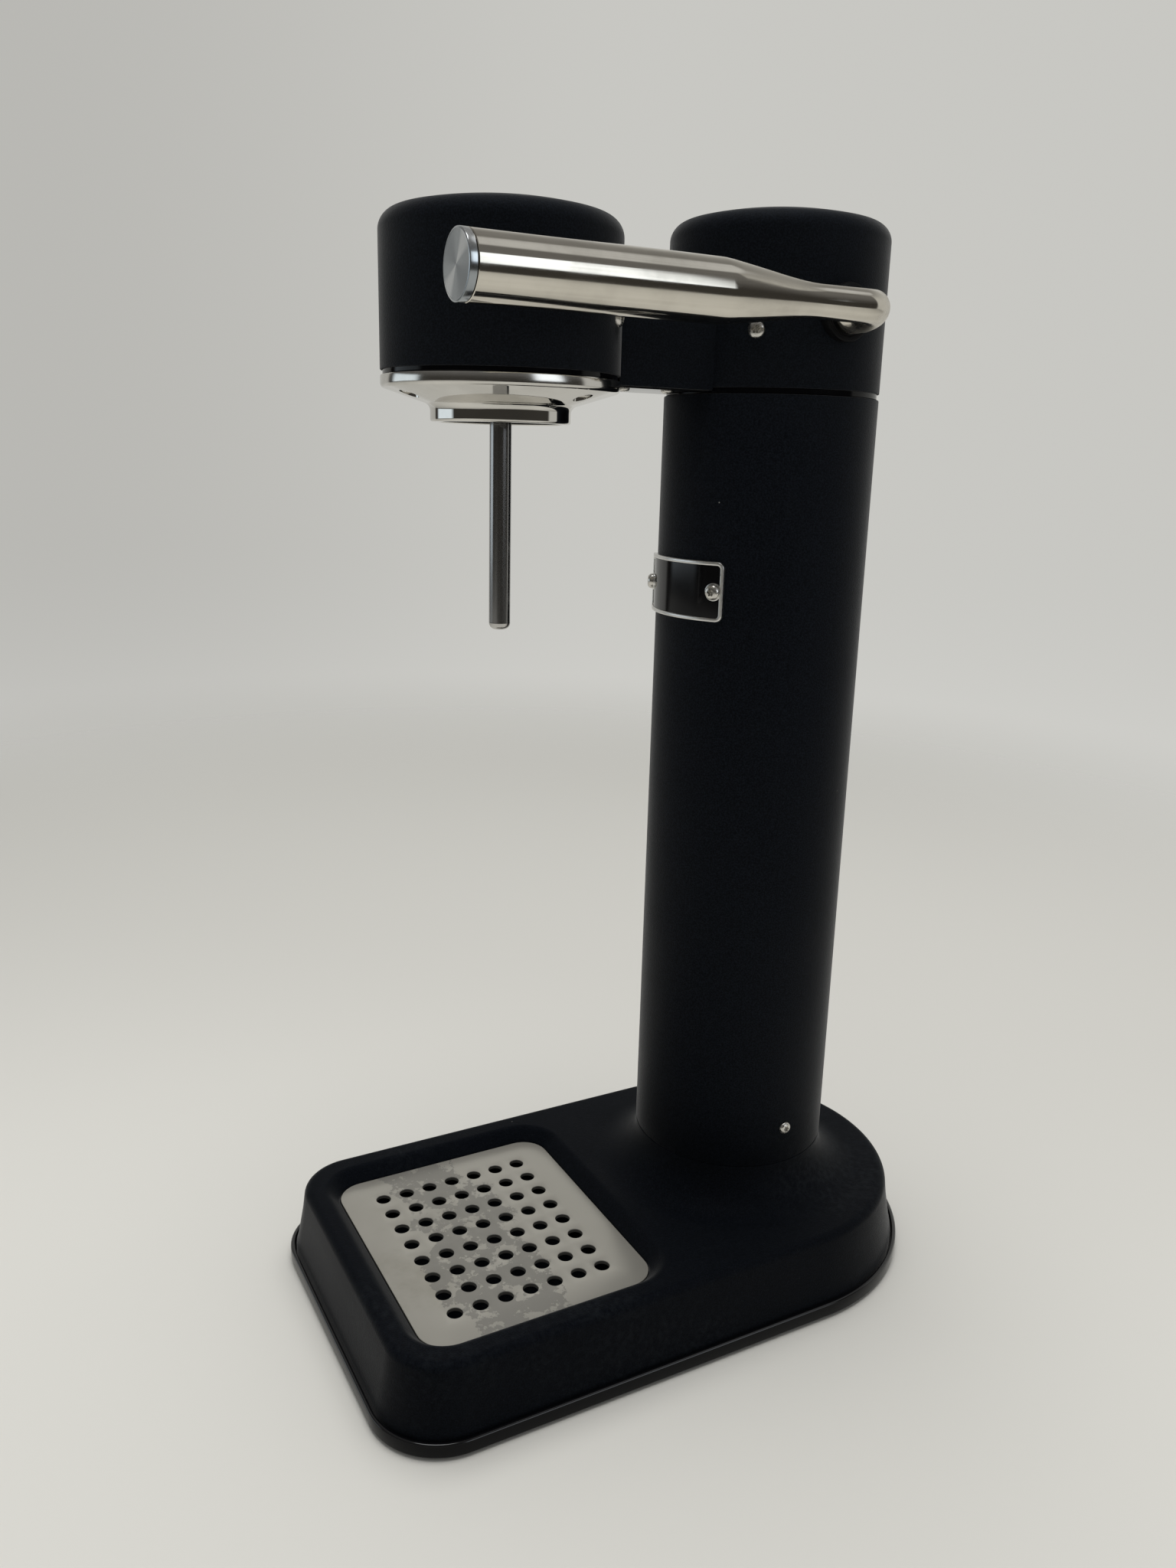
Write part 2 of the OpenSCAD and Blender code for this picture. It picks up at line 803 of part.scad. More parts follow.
// The frame inside the heads. Its edges show as glossy rings under both shells and under the bridge.
module chassis() {
    frame_high = pivot_z + frame_rise;
    front_high = head_screw_z + front_frame_rise;
    color("#0b0b0c")
        difference() {
            union() {
                at_column() ring(spigot_r, valve_r + push_fit, spigot_low, column_top);
                at_column() ring(ring_r, valve_r + push_fit, column_top, rear_z);
                at_column() ring(frame_r, frame_r - frame_wall, rear_z, frame_high);
                at_nozzle() ring(ring_r, block_r + push_fit, collar_top, front_z);
                at_nozzle() ring(frame_r, block_r + push_fit, front_z, front_floor);
                at_nozzle() ring(frame_r, frame_r - frame_wall, front_floor, front_high);
                difference() {
                    translate([-window_w / 2 + push_fit, nozzle_y, beam_low])
                        cube([window_w - 2 * push_fit, head_gap, beam_top - beam_low]);
                    at_column() cylinder(r = valve_flange_r + flange_play, h = head_top);
                    at_nozzle() cylinder(r = block_flange_r + flange_play, h = head_top);
                    at_nozzle() cylinder(r = column_r + push_fit, h = collar_top);
                }
            }
            translate([-window_w / 2 + window_margin, nozzle_y + block_flange_r, beam_top])
                cube([window_w - 2 * window_margin, head_gap - block_flange_r - valve_flange_r, head_h]);
            translate([0, column_y, pivot_z]) along_x() cylinder(r = bush_r + push_fit, h = column_r);
            translate([0, column_y, pivot_z])
                along_minus_x() cylinder(r = inner_bush_r + push_fit, h = column_r);
            at_head_screws() cylinder(r = head_screw_r + push_fit, h = column_r);
            at_valve_screws() translate([0, 0, spigot_low - overcut])
                cylinder(r = valve_screw_r + push_fit, h = rear_z - spigot_low + 2 * overcut);
            at_collar_screws() translate([0, 0, collar_top - overcut])
                cylinder(r = collar_screw_r + push_fit, h = 2 * (front_floor - collar_top));
            at_block_screws() translate([0, 0, collar_top - overcut])
                cylinder(r = block_screw_r + push_fit, h = 2 * (front_floor - collar_top));
            at_bridge_screws() translate([0, 0, beam_low - overcut])
                cylinder(r = bridge_screw_r + push_fit, h = beam_top - beam_low + 2 * overcut);
        }
}

// A head shell's outside and inside; the window lets the frame and the gas tube through to the bridge
module head_shell(low, top, forward) {
    difference() {
        rotate_extrude() polygon(head_outline(low, top, 0));
        rotate_extrude() polygon(concat([[0, low - overcut], [column_r - head_wall, low - overcut]],
            [for (p = head_outline(low, top, head_wall)) if (p[1] > low) p]));
        translate([-window_w / 2, forward < 0 ? -column_r : 0, low - overcut])
            cube([window_w, column_r, bridge_top - bridge_wall - bridge_r - low]);
    }
}

module rear_head_shell() {
    color("#15171b")
        difference() {
            at_column() head_shell(rear_z, head_top, -1);
            at_head_screws() cylinder(r = head_screw_r + push_fit, h = 2 * column_r);
            translate([0, column_y, pivot_z]) along_x() cylinder(r = bush_r + push_fit, h = 2 * column_r);
        }
}

module front_head_shell() {
    color("#15171b")
        difference() {
            at_nozzle() head_shell(front_z, head_top - head_drop, 1);
            at_head_screws() cylinder(r = head_screw_r + push_fit, h = 2 * column_r);
        }
}

module head_screws() {
    color("silver")
        at_head_screws()
            translate([0, 0, column_r])
                screw(head_screw_head, head_screw_h, head_screw_r, head_wall + frame_wall);
}

module at_bridge_screws() {
    for (x = [-1, 1], y = bridge_screw_y) translate([x * bridge_screw_x, y, 0]) children();
}

// Channel between the heads, open below, with its ends cut to fit round both shells
module bridge_shell() {
    low = beam_low + beam_step;
    color("#15171b")
        difference() {
            union() {
                difference() {
                    bridge_block(bridge_w, bridge_top, bridge_r, low);
                    bridge_block(bridge_w - 2 * bridge_wall, bridge_top - bridge_wall, bridge_r - bridge_wall,
                        low - overcut);
                }
                at_bridge_screws() translate([0, 0, beam_top])
                    cylinder(r = bridge_boss_r, h = bridge_top - bridge_wall / 2 - beam_top);
            }
            at_column() cylinder(r = column_r + push_fit, h = head_top);
            at_nozzle() cylinder(r = column_r + push_fit, h = head_top);
            at_bridge_screws() translate([0, 0, beam_top - overcut])
                cylinder(r = bridge_screw_r + push_fit, h = bridge_boss_hole);
        }
}

module bridge_block(w, top, r, low) {
    translate([0, column_y, low])
        rotate([90, 0, 0])
            linear_extrude(head_gap) {
                translate([-w / 2, 0]) square([w, top - low - r]);
                translate([-w / 2 + r, 0]) square([w - 2 * r, top - low]);
                for (x = [-1, 1]) translate([x * (w / 2 - r), top - low - r]) circle(r);
            }
}

module bridge_screws() {
    color("silver")
        at_bridge_screws()
            translate([0, 0, beam_low])
                mirror([0, 0, 1])
                    screw(bridge_head_r, bridge_head_h, bridge_screw_r, beam_top - beam_low + bridge_screw_l);
}

module at_collar_screws() {
    for (a = collar_screw_angles)
        at_nozzle() rotate([0, 0, a]) translate([collar_screw_ring, 0, 0]) children();
}

// Polished collar: a band, a sloping underside, a fillet, a short neck, and the bore for a bottle's mouth
module bottle_collar() {
    neck_r = neck_d / 2;
    band_low = collar_top - collar_band;
    slope_low = band_low - collar_slope;
    slope_tilt = atan(collar_slope / (column_r - band_round - neck_r - neck_fillet - neck_step));
    color("#c9c8c4")
        difference() {
            at_nozzle()
                rotate_extrude()
                    polygon(concat(
                        [[block_r + push_fit, collar_top], [column_r - seam_v, collar_top],
                         [column_r, collar_top - seam_v]],
                        arc([column_r - band_round, band_low + band_round], band_round,
                            0, slope_tilt - 90, fillet_steps),
                        [[neck_r + neck_fillet + neck_step, slope_low]],
                        arc([neck_r + neck_fillet, slope_low - neck_fillet], neck_fillet,
                            90, 180, fillet_steps),
                        arc([neck_r - neck_round, collar_low + neck_round], neck_round, 0, -90, fillet_steps),
                        [[collar_bore / 2, collar_low], [collar_bore / 2, collar_top - collar_web],
                         [block_r + push_fit, collar_top - collar_web]]));
            at_collar_screws() {
                translate([0, 0, collar_low]) cylinder(r = collar_screw_r + push_fit, h = 2 * collar_h);
                translate([0, 0, collar_low])
                    cylinder(r = collar_screw_head + push_fit,
                        h = band_low + collar_screw_sink - collar_low);
            }
        }
}

module collar_screws() {
    color("silver")
        at_collar_screws()
            translate([0, 0, collar_top - collar_band + collar_screw_sink])
                mirror([0, 0, 1])
                    screw(collar_screw_head, collar_screw_h, collar_screw_r,
                        front_floor - collar_top + collar_band - collar_screw_sink - screw_end_gap);
}

module bottle_seal() {
    color("#141414")
        at_nozzle()
            ring(collar_bore / 2 - push_fit, collar_bore / 2 - seal_t, seal_z, seal_z + seal_h);
}

module nozzle_tube() {
    color("#6b6b6d")
        at_nozzle() ring(nozzle_d / 2, nozzle_bore, nozzle_z + tip_h, nozzle_seat);
}

module nozzle_tip() {
    r = nozzle_d / 2;
    color("#a5a5a5")
        at_nozzle()
            rotate_extrude()
                polygon(concat(
                    [[tip_hole, nozzle_z]],
                    arc([r - tip_h, nozzle_z + tip_h], tip_h, -90, 0, fillet_steps),
                    [[nozzle_bore - push_fit, nozzle_z + tip_h],
                     [nozzle_bore - push_fit, nozzle_z + tip_h + tip_spigot],
                     [tip_hole, nozzle_z + tip_h + tip_spigot]]));
}

module at_block_screws() {
    for (a = [30 : 120 : 270])
        at_nozzle() rotate([0, 0, a]) translate([(block_r + block_flange_r) / 2, 0, 0]) children();
}

// Head of the nozzle: it takes the gas from the side, the nozzle from below and the relief valve on top
module nozzle_block() {
    color("#b08d45")
        difference() {
            at_nozzle()
                rotate_extrude()
                    polygon([
                        [0, block_low], [block_r, block_low], [block_r, front_floor],
                        [block_flange_r, front_floor], [block_flange_r, front_floor + block_flange_h],
                        [block_r, front_floor + block_flange_h], [block_r, block_high], [0, block_high]
                    ]);
            at_nozzle() translate([0, 0, block_low - overcut])
                cylinder(r = nozzle_d / 2 + push_fit, h = nozzle_seat - block_low + overcut);
            at_nozzle() translate([0, 0, nozzle_seat - overcut])
                cylinder(r = gas_way, h = block_high - nozzle_seat);
            at_nozzle() translate([0, 0, block_high - relief_l])
                cylinder(r = relief_r + push_fit, h = relief_l + overcut);
            translate([0, nozzle_lug_y - port_l, port_z])
                along_y() cylinder(r = port_r, h = port_l + overcut);
            at_block_screws() translate([0, 0, front_floor - overcut])
                cylinder(r = block_screw_r + push_fit, h = block_flange_h + 2 * overcut);
        }
}

module block_screws() {
    color("silver")
        at_block_screws()
            translate([0, 0, front_floor + block_flange_h])
                screw(block_head_r, block_head_h, block_screw_r,
                    block_flange_h + front_floor - collar_top - screw_end_gap);
}

module relief_valve() {
    color("#b08d45")
        at_nozzle() {
            translate([0, 0, block_high - relief_l + relief_seat]) cylinder(r = relief_r, h = relief_l);
            translate([0, 0, block_high]) cylinder(r = relief_nut_r, h = relief_nut_h, $fn = 6);
            translate([0, 0, block_high + relief_nut_h]) cylinder(r = relief_cap_r, h = relief_cap_h);
        }
}

module gas_tube() {
    color("#d8d8d2")
        translate([0, nozzle_lug_y + fitting_floor, port_z])
            along_y()
                difference() {
                    cylinder(d = tube_d, h = valve_lug_y - nozzle_lug_y - 2 * fitting_floor);
                    translate([0, 0, -overcut]) cylinder(d = tube_d / 2, h = head_gap);
                }
}

module fitting() {
    difference() {
        union() {
            translate([0, 0, -fitting_stem])
                cylinder(r = port_r - push_fit / 2, h = fitting_stem + fitting_floor);
            cylinder(r = fitting_r, h = fitting_l);
        }
        translate([0, 0, fitting_floor - plate_seat]) cylinder(r = tube_d / 2 + push_fit, h = fitting_l);
        translate([0, 0, -fitting_stem - overcut]) cylinder(r = port_r / 2, h = fitting_stem + fitting_l);
    }
}

module tube_fittings() {
    color("#b08d45") {
        translate([0, nozzle_lug_y, port_z]) along_y() fitting();
        translate([0, valve_lug_y, port_z]) rotate([90, 0, 0]) fitting();
    }
}

module at_valve_screws() {
    for (a = [45 : 90 : 315]) at_column() rotate([0, 0, a]) translate([valve_screw_ring, 0, 0]) children();
}

// Brass block under the lever: the gas cylinder screws in from below, the plunger is guided from above
module valve_block() {
    color("#b08d45")
        difference() {
            union() {
                at_column()
                    rotate_extrude()
                        polygon([
                            [0, valve_low], [valve_r, valve_low], [valve_r, rear_z], [valve_flange_r, rear_z],
                            [valve_flange_r, rear_z + valve_flange_h], [valve_hub_r, rear_z + valve_flange_h],
                            [valve_hub_r, valve_top], [0, valve_top]
                        ]);
                translate([0, valve_lug_y, port_z]) along_y() cylinder(r = valve_lug_r, h = valve_lug_l);
            }
            at_column() translate([0, 0, valve_low - overcut]) cylinder(d = thread_d, h = thread_l + overcut);
            at_column() translate([0, 0, seal_floor - overcut])
                cylinder(r = gas_seal_r + push_fit, h = gas_seal_h + overcut);
            at_column() translate([0, 0, seal_floor])
                cylinder(r = plunger_d / 2 + run_fit, h = valve_top - seal_floor + overcut);
            at_column() ring(spring_pocket_r, spring_boss_r, spring_low, valve_top + overcut);
            translate([0, valve_lug_y - overcut, port_z])
                along_y() cylinder(r = port_r, h = port_l + overcut);
            at_valve_screws() translate([0, 0, rear_z - overcut])
                cylinder(r = valve_screw_r + push_fit, h = valve_flange_h + 2 * overcut);
        }
}

module valve_screws() {
    color("silver")
        at_valve_screws()
            translate([0, 0, rear_z + valve_flange_h]) 
                screw(valve_head_r, valve_head_h, valve_screw_r, valve_flange_h + valve_screw_l);
}

module cylinder_seal() {
    color("#141414") at_column() ring(gas_seal_r, gas_seal_bore, seal_floor, seal_floor + gas_seal_h);
}

// Flat-headed plunger that the cam presses onto the gas cylinder's pin
module plunger() {
    color("#b9b5ac")
        at_column() {
            translate([0, 0, plunger_low]) cylinder(d = plunger_d, h = plunger_top - plunger_low);
            translate([0, 0, spring_high]) cylinder(r = plunger_head_r, h = plunger_head_h);
        }
}

// Round wire wound round the plunger, with 8 sides and 12 rings a turn
module return_spring() {
    sides = 8;
    rings = 12 * spring_turns;
    end_gap = 0.05;
    low = spring_low + wire_d / 2 + end_gap;
    high = spring_high - wire_d / 2 - end_gap;
    points = [for (i = [0 : rings], j = [0 : sides - 1])
        let (
            turn = 360 * spring_turns * i / rings,
            side = 360 * j / sides,
            r = spring_r + wire_d / 2 * cos(side)
        )
        [r * cos(turn), r * sin(turn), low + (high - low) * i / rings + wire_d / 2 * sin(side)]];
    faces = concat(
        [[for (j = [0 : sides - 1]) j]],
        [for (i = [0 : rings - 1], j = [0 : sides - 1])
            let (k = (j + 1) % sides)
            [i * sides + j, (i + 1) * sides + j, (i + 1) * sides + k]],
        [for (i = [0 : rings - 1], j = [0 : sides - 1])
            let (k = (j + 1) % sides)
            [i * sides + j, (i + 1) * sides + k, i * sides + k]],
        [[for (j = [sides - 1 : -1 : 0]) rings * sides + j]]
    );
    color("#9a9a9a") at_column() polyhedron(points, faces);
}

// Flanged bush in the side of the rear head; its flange fits the head's round wall
module lever_bush() {
    color("#101012")
        difference() {
            translate([0, column_y, pivot_z]) along_x() {
                translate([0, 0, bush_in]) cylinder(r = bush_r, h = column_r + bush_t - bush_in);
                translate([0, 0, column_r - bush_root]) cylinder(d = bush_d, h = bush_t + bush_root);
            }
            difference() {
                at_column() translate([0, 0, rear_z]) cylinder(r = column_r + push_fit, h = head_h);
                translate([0, column_y, pivot_z]) along_x() cylinder(r = bush_r, h = column_r + bush_t);
            }
            translate([0, column_y, pivot_z]) along_x() cylinder(r = shaft_r + run_fit, h = 2 * column_r);
        }
}

module inner_bush() {
    color("#101012")
        translate([0, column_y, pivot_z]) along_minus_x()
            ring(inner_bush_r, shaft_r + run_fit, bush_in, inner_bush_end);
}

// Radius along the lever, from the grip through the swage to the rod: a cone that eases into the rod
function swage_points() = [for (i = [0 : swage_steps])
    let (t = i / swage_steps)
    [rod_r + (grip_r - rod_r) * (1 - t) * (1 - swage_ease * pow(t, 3)), lever_l - grip_end + swage_l * t]];

module lever_tube() {
    bore = grip_r - grip_wall;
    color("#b9b5ac") {
        translate([lever_x, column_y - lever_l, pivot_z])
            along_y()
                rotate_extrude()
                    polygon(concat(
                        [[bore, cap_l], [grip_r - cap_chamfer, cap_l], [grip_r, cap_l + cap_chamfer]],
                        swage_points(),
                        [[rod_r, lever_l - bend_r + bend_out], [0, lever_l - bend_r + bend_out],
                         [0, lever_l - grip_end - grip_floor], [bore, lever_l - grip_end - grip_floor]]));
        translate([lever_x - bend_r, column_y - bend_r + bend_out, pivot_z])
            rotate_extrude(angle = 90) translate([bend_r, 0]) circle(rod_r);
        translate([lever_x - bend_r, column_y, pivot_z]) {
            along_x() rotate_extrude() intersection() {
                circle(rod_r + bend_out);
                square(rod_r + bend_out);
            }
            along_minus_x() rotate_extrude() polygon(leg_outline());
        }
    }
}

// The swelled leg, then the shaft with the groove for its retaining ring
function leg_outline() =
    let (
        x0 = lever_x - bend_r,
        groove_start = x0 - ring_x - ring_t,
        groove_r = shaft_r - ring_groove
    )
    [
        [0, 0], [rod_r + bend_out, 0], [leg_d / 2, leg_l - leg_v], [leg_d / 2 - leg_v, leg_l],
        [shaft_r, leg_l], [shaft_r, groove_start], [groove_r, groove_start],
        [groove_r, groove_start + ring_t], [shaft_r, groove_start + ring_t],
        [shaft_r, x0 + shaft_end - shaft_v], [shaft_r - shaft_v, x0 + shaft_end], [0, x0 + shaft_end]
    ];

module lever_end_cap() {
    spigot = grip_r - grip_wall - push_fit;
    color("#c6c4bf")
        translate([lever_x, column_y - lever_l, pivot_z])
            along_y()
                rotate_extrude()
                    polygon([
                        [0, 0], [grip_r - cap_chamfer, 0], [grip_r, cap_chamfer],
                        [grip_r, cap_l - cap_groove], [spigot, cap_l - cap_groove],
                        [spigot, cap_l + cap_spigot], [0, cap_l + cap_spigot]
                    ]);
}

// Cam whose working face is an involute, so that the plunger moves evenly with the lever
module lever_cam() {
    rim = [for (i = [0 : cam_steps])
        let (
            turn = (lever_swing + cam_over) * i / cam_steps,
            reach = cam_r + cam_rate * turn * PI / 180
        )
        reach * [-sin(turn), -cos(turn)] + cam_rate * [-cos(turn), sin(turn)]];
    color("#9a9a9a")
        difference() {
            translate([-cam_w / 2, column_y, pivot_z]) {
                along_x() cylinder(r = cam_hub_r, h = cam_w);
                rotate([90, 0, 90])
                    linear_extrude(cam_w) polygon(concat([[cam_heel, 0], [cam_heel, -cam_r]], rim));
            }
            translate([-cam_w, column_y, pivot_z]) along_x() cylinder(r = shaft_r + run_fit, h = 2 * cam_w);
            translate([0, column_y, pivot_z]) cylinder(r = cam_screw_r + push_fit, h = 2 * cam_r);
        }
}

module cam_screw() {
    color("#3a3a3a")
        translate([0, column_y, pivot_z + shaft_r + run_fit])
            cylinder(r = cam_screw_r, h = cam_hub_r - shaft_r - 2 * run_fit);
}

module retaining_ring() {
    color("#3a3a3a")
        translate([0, column_y, pivot_z])
            along_x() ring(retain_r, shaft_r - ring_groove + run_fit, ring_x, ring_x + ring_t - run_fit);
}

base_shell();
column_foot();
basin_tub();
base_pan();
foot_pads();
pan_screws();
column_socket();
cylinder_guide();
drip_plate();
column_tube();
column_screws();
badge_frame();
badge_plate();
badge_screws();
chassis();
rear_head_shell();
front_head_shell();
head_screws();
bridge_shell();
bridge_screws();
bottle_collar();
collar_screws();
bottle_seal();
nozzle_tube();
nozzle_tip();
nozzle_block();
block_screws();
relief_valve();
gas_tube();
tube_fittings();
valve_block();
valve_screws();
cylinder_seal();
plunger();
return_spring();
lever_bush();
inner_bush();
lever_tube();
lever_end_cap();
lever_cam();
cam_screw();
retaining_ring();
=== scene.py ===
"""Countertop sparkling water maker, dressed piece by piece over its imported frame.

Metres, +Z up, the front with the nozzle and the drip plate towards -Y, the lever on the +X side.
Sizes in the sections are in millimetres, and those in the materials and the studio in metres.
"""

import math

import bmesh
import bpy
from mathutils import Matrix, Vector


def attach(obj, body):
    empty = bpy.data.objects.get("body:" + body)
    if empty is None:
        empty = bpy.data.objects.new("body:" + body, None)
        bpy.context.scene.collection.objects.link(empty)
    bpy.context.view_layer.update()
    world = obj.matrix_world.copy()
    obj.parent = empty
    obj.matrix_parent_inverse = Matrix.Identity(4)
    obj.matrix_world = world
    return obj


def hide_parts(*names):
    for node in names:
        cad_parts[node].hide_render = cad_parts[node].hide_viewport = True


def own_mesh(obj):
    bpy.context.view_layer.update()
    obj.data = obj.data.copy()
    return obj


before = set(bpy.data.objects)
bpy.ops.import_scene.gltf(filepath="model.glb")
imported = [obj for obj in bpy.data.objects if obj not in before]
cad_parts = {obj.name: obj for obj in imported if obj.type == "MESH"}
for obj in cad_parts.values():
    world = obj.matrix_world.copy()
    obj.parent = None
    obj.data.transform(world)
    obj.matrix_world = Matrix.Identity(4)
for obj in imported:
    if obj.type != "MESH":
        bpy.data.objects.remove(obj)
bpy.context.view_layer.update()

# The viewpoint: a hand-held camera in front of the lever's side, a little below the lever and
# tilted down towards the drip plate, with a slight roll.
CAMERA_AT = (0.39356, -0.23629, 0.33051)
SENSOR_MM, FOCAL_PX, FRAME_PX = 36, 1597.035, 2048
swing, dip, roll = math.radians(61.379), math.radians(15.054), math.radians(1.473)
ahead = Vector((-math.sin(swing) * math.cos(dip), math.cos(swing) * math.cos(dip), -math.sin(dip)))
right = Vector((math.cos(swing), math.sin(swing), 0))
up = right.cross(ahead)
camera = bpy.data.objects.new("viewpoint", bpy.data.cameras.new("viewpoint"))
bpy.context.scene.collection.objects.link(camera)
camera_turn = Matrix((
    math.cos(roll) * right + math.sin(roll) * up,
    math.cos(roll) * up - math.sin(roll) * right,
    -ahead,
)).transposed()
camera.matrix_world = Matrix.Translation(CAMERA_AT) @ camera_turn.to_4x4()
camera.data.sensor_width = SENSOR_MM
camera.data.lens = SENSOR_MM * FOCAL_PX / FRAME_PX
bpy.context.scene.camera = camera


# Pressed base shell: sheet steel drawn into a low tray turned upside down, with a leaning wall, a dished
# seat for the drip plate with its basin below, and a flare that grows into the column. It is coated in a
# fine matte powder, blue-black, with dust and lint on the base. Its colour is painted paler on the heads as a
# painted highlight, and darker on the base and the column's foot as painted shade.
MM = 0.001
COLUMN_Y, NOZZLE_Y, PLATE_Y = 52.5, -58.7, -61.9
BASE_W, BASE_D, CORNER_R = 153, 258, 28
BASE_TOP = 32.5
COLUMN_R, COLUMN_BORE = 40, 38.8
WELD = 0.002


def start(add, name, **how):
    """Adds a primitive with nothing else selected, names it, and opens it in edit mode."""
    bpy.ops.object.select_all(action="DESELECT")
    add(**how)
    made = bpy.context.object
    made.name = made.data.name = name
    bpy.ops.object.mode_set(mode="EDIT")
    bpy.ops.mesh.select_mode(type="VERT")
    bpy.ops.mesh.select_all(action="SELECT")
    return made


def pick(kind, test):
    """Selects the vertices, edges or faces whose middle, in mm, passes the test."""
    mesh = bmesh.from_edit_mesh(bpy.context.object.data)
    bpy.ops.mesh.select_mode(type=kind)
    bpy.ops.mesh.select_all(action="DESELECT")
    for part in {"VERT": mesh.verts, "EDGE": mesh.edges, "FACE": mesh.faces}[kind]:
        if kind == "VERT":
            middle = part.co
        else:
            middle = sum((v.co for v in part.verts), Vector()) / len(part.verts)
        part.select_set(bool(test(middle / MM, part)))
    mesh.select_flush_mode()
    bmesh.update_edit_mesh(bpy.context.object.data)


def done(made, smooth=30):
    """Leaves edit mode with clean, outward faces and smooth shading up to an angle."""
    bpy.ops.mesh.select_all(action="SELECT")
    bpy.ops.mesh.remove_doubles(threshold=WELD * MM)
    bpy.ops.mesh.normals_make_consistent(inside=False)
    bpy.ops.object.mode_set(mode="OBJECT")
    bpy.ops.object.select_all(action="DESELECT")
    made.select_set(True)
    bpy.context.view_layer.objects.active = made
    bpy.ops.object.shade_smooth_by_angle(angle=math.radians(smooth))
    return made


def rounded_plate(name, w, d, y, z, corners):
    """Flat face with round corners: corners gives the radius and steps at the front and at the rear."""
    made = start(bpy.ops.mesh.primitive_plane_add, name, size=1, location=(0, 0, 0))
    bpy.ops.object.mode_set(mode="OBJECT")
    bpy.ops.transform.resize(value=(w * MM, d * MM, 1))
    bpy.ops.transform.translate(value=(0, y * MM, z * MM))
    bpy.ops.object.transform_apply(location=True, rotation=True, scale=True)
    bpy.ops.object.mode_set(mode="EDIT")
    for side, (radius, steps) in zip((-1, 1), corners):
        pick("VERT", lambda p, v: (p.y - y) * side > d / 2 - 0.01 and abs(p.x) > w / 2 - 0.01)
        bpy.ops.mesh.bevel(offset=radius * MM, segments=steps, affect="VERTICES", clamp_overlap=False)
    bpy.ops.mesh.select_all(action="SELECT")
    bpy.ops.mesh.remove_doubles(threshold=WELD * MM)
    bpy.ops.mesh.select_mode(type="FACE")
    bpy.ops.mesh.select_all(action="SELECT")
    return made


def carry(profile):
    """Carries the selected face inwards and along its normal through (inset, height) points."""
    for (inset_a, high_a), (inset_b, high_b) in zip(profile, profile[1:]):
        bpy.ops.mesh.inset(
            thickness=max(inset_b - inset_a, 0.0005) * MM, depth=(high_b - high_a) * MM, use_even_offset=True
        )


def base_face(name, inset, z):
    """Face with the outline of the base: a half circle behind, rounded corners in front."""
    w = BASE_W - 2 * inset
    return rounded_plate(name, w, BASE_D - 2 * inset, 0, z, ((CORNER_R - inset, 20), (w / 2, 56)))


def turned(name, outline, centre, along=(0, 0, 1), out=(1, 0, 0), steps=128, smooth=30):
    """Draws (radius, height) points as a chain of edges and spins it round an axis through centre."""
    centre, along, out = Vector(centre) * MM, Vector(along), Vector(out)
    points = [centre + out * r * MM + along * h * MM for r, h in outline]
    made = start(bpy.ops.mesh.primitive_plane_add, name, size=MM, location=(0, 0, 0))
    bpy.ops.mesh.merge(type="CENTER")
    bpy.ops.transform.translate(value=points[0])
    for a, b in zip(points, points[1:]):
        bpy.ops.mesh.extrude_region_move(TRANSFORM_OT_translate={"value": b - a})
    bpy.ops.mesh.select_all(action="SELECT")
    bpy.ops.mesh.spin(steps=steps, angle=2 * math.pi, center=centre, axis=along)
    return done(made, smooth)


def arc(centre, radius, a0, a1, steps):
    """Points on a round of an outline, between two angles in degrees."""
    angles = [math.radians(a0 + (a1 - a0) * i / steps) for i in range(steps + 1)]
    return [(centre[0] + radius * math.cos(a), centre[1] + radius * math.sin(a)) for a in angles]


def joined(first, *others):
    """Joins finished meshes into the first."""
    bpy.ops.object.select_all(action="DESELECT")
    for made in (first, *others):
        made.select_set(True)
    bpy.context.view_layer.objects.active = first
    bpy.ops.object.join()
    return first


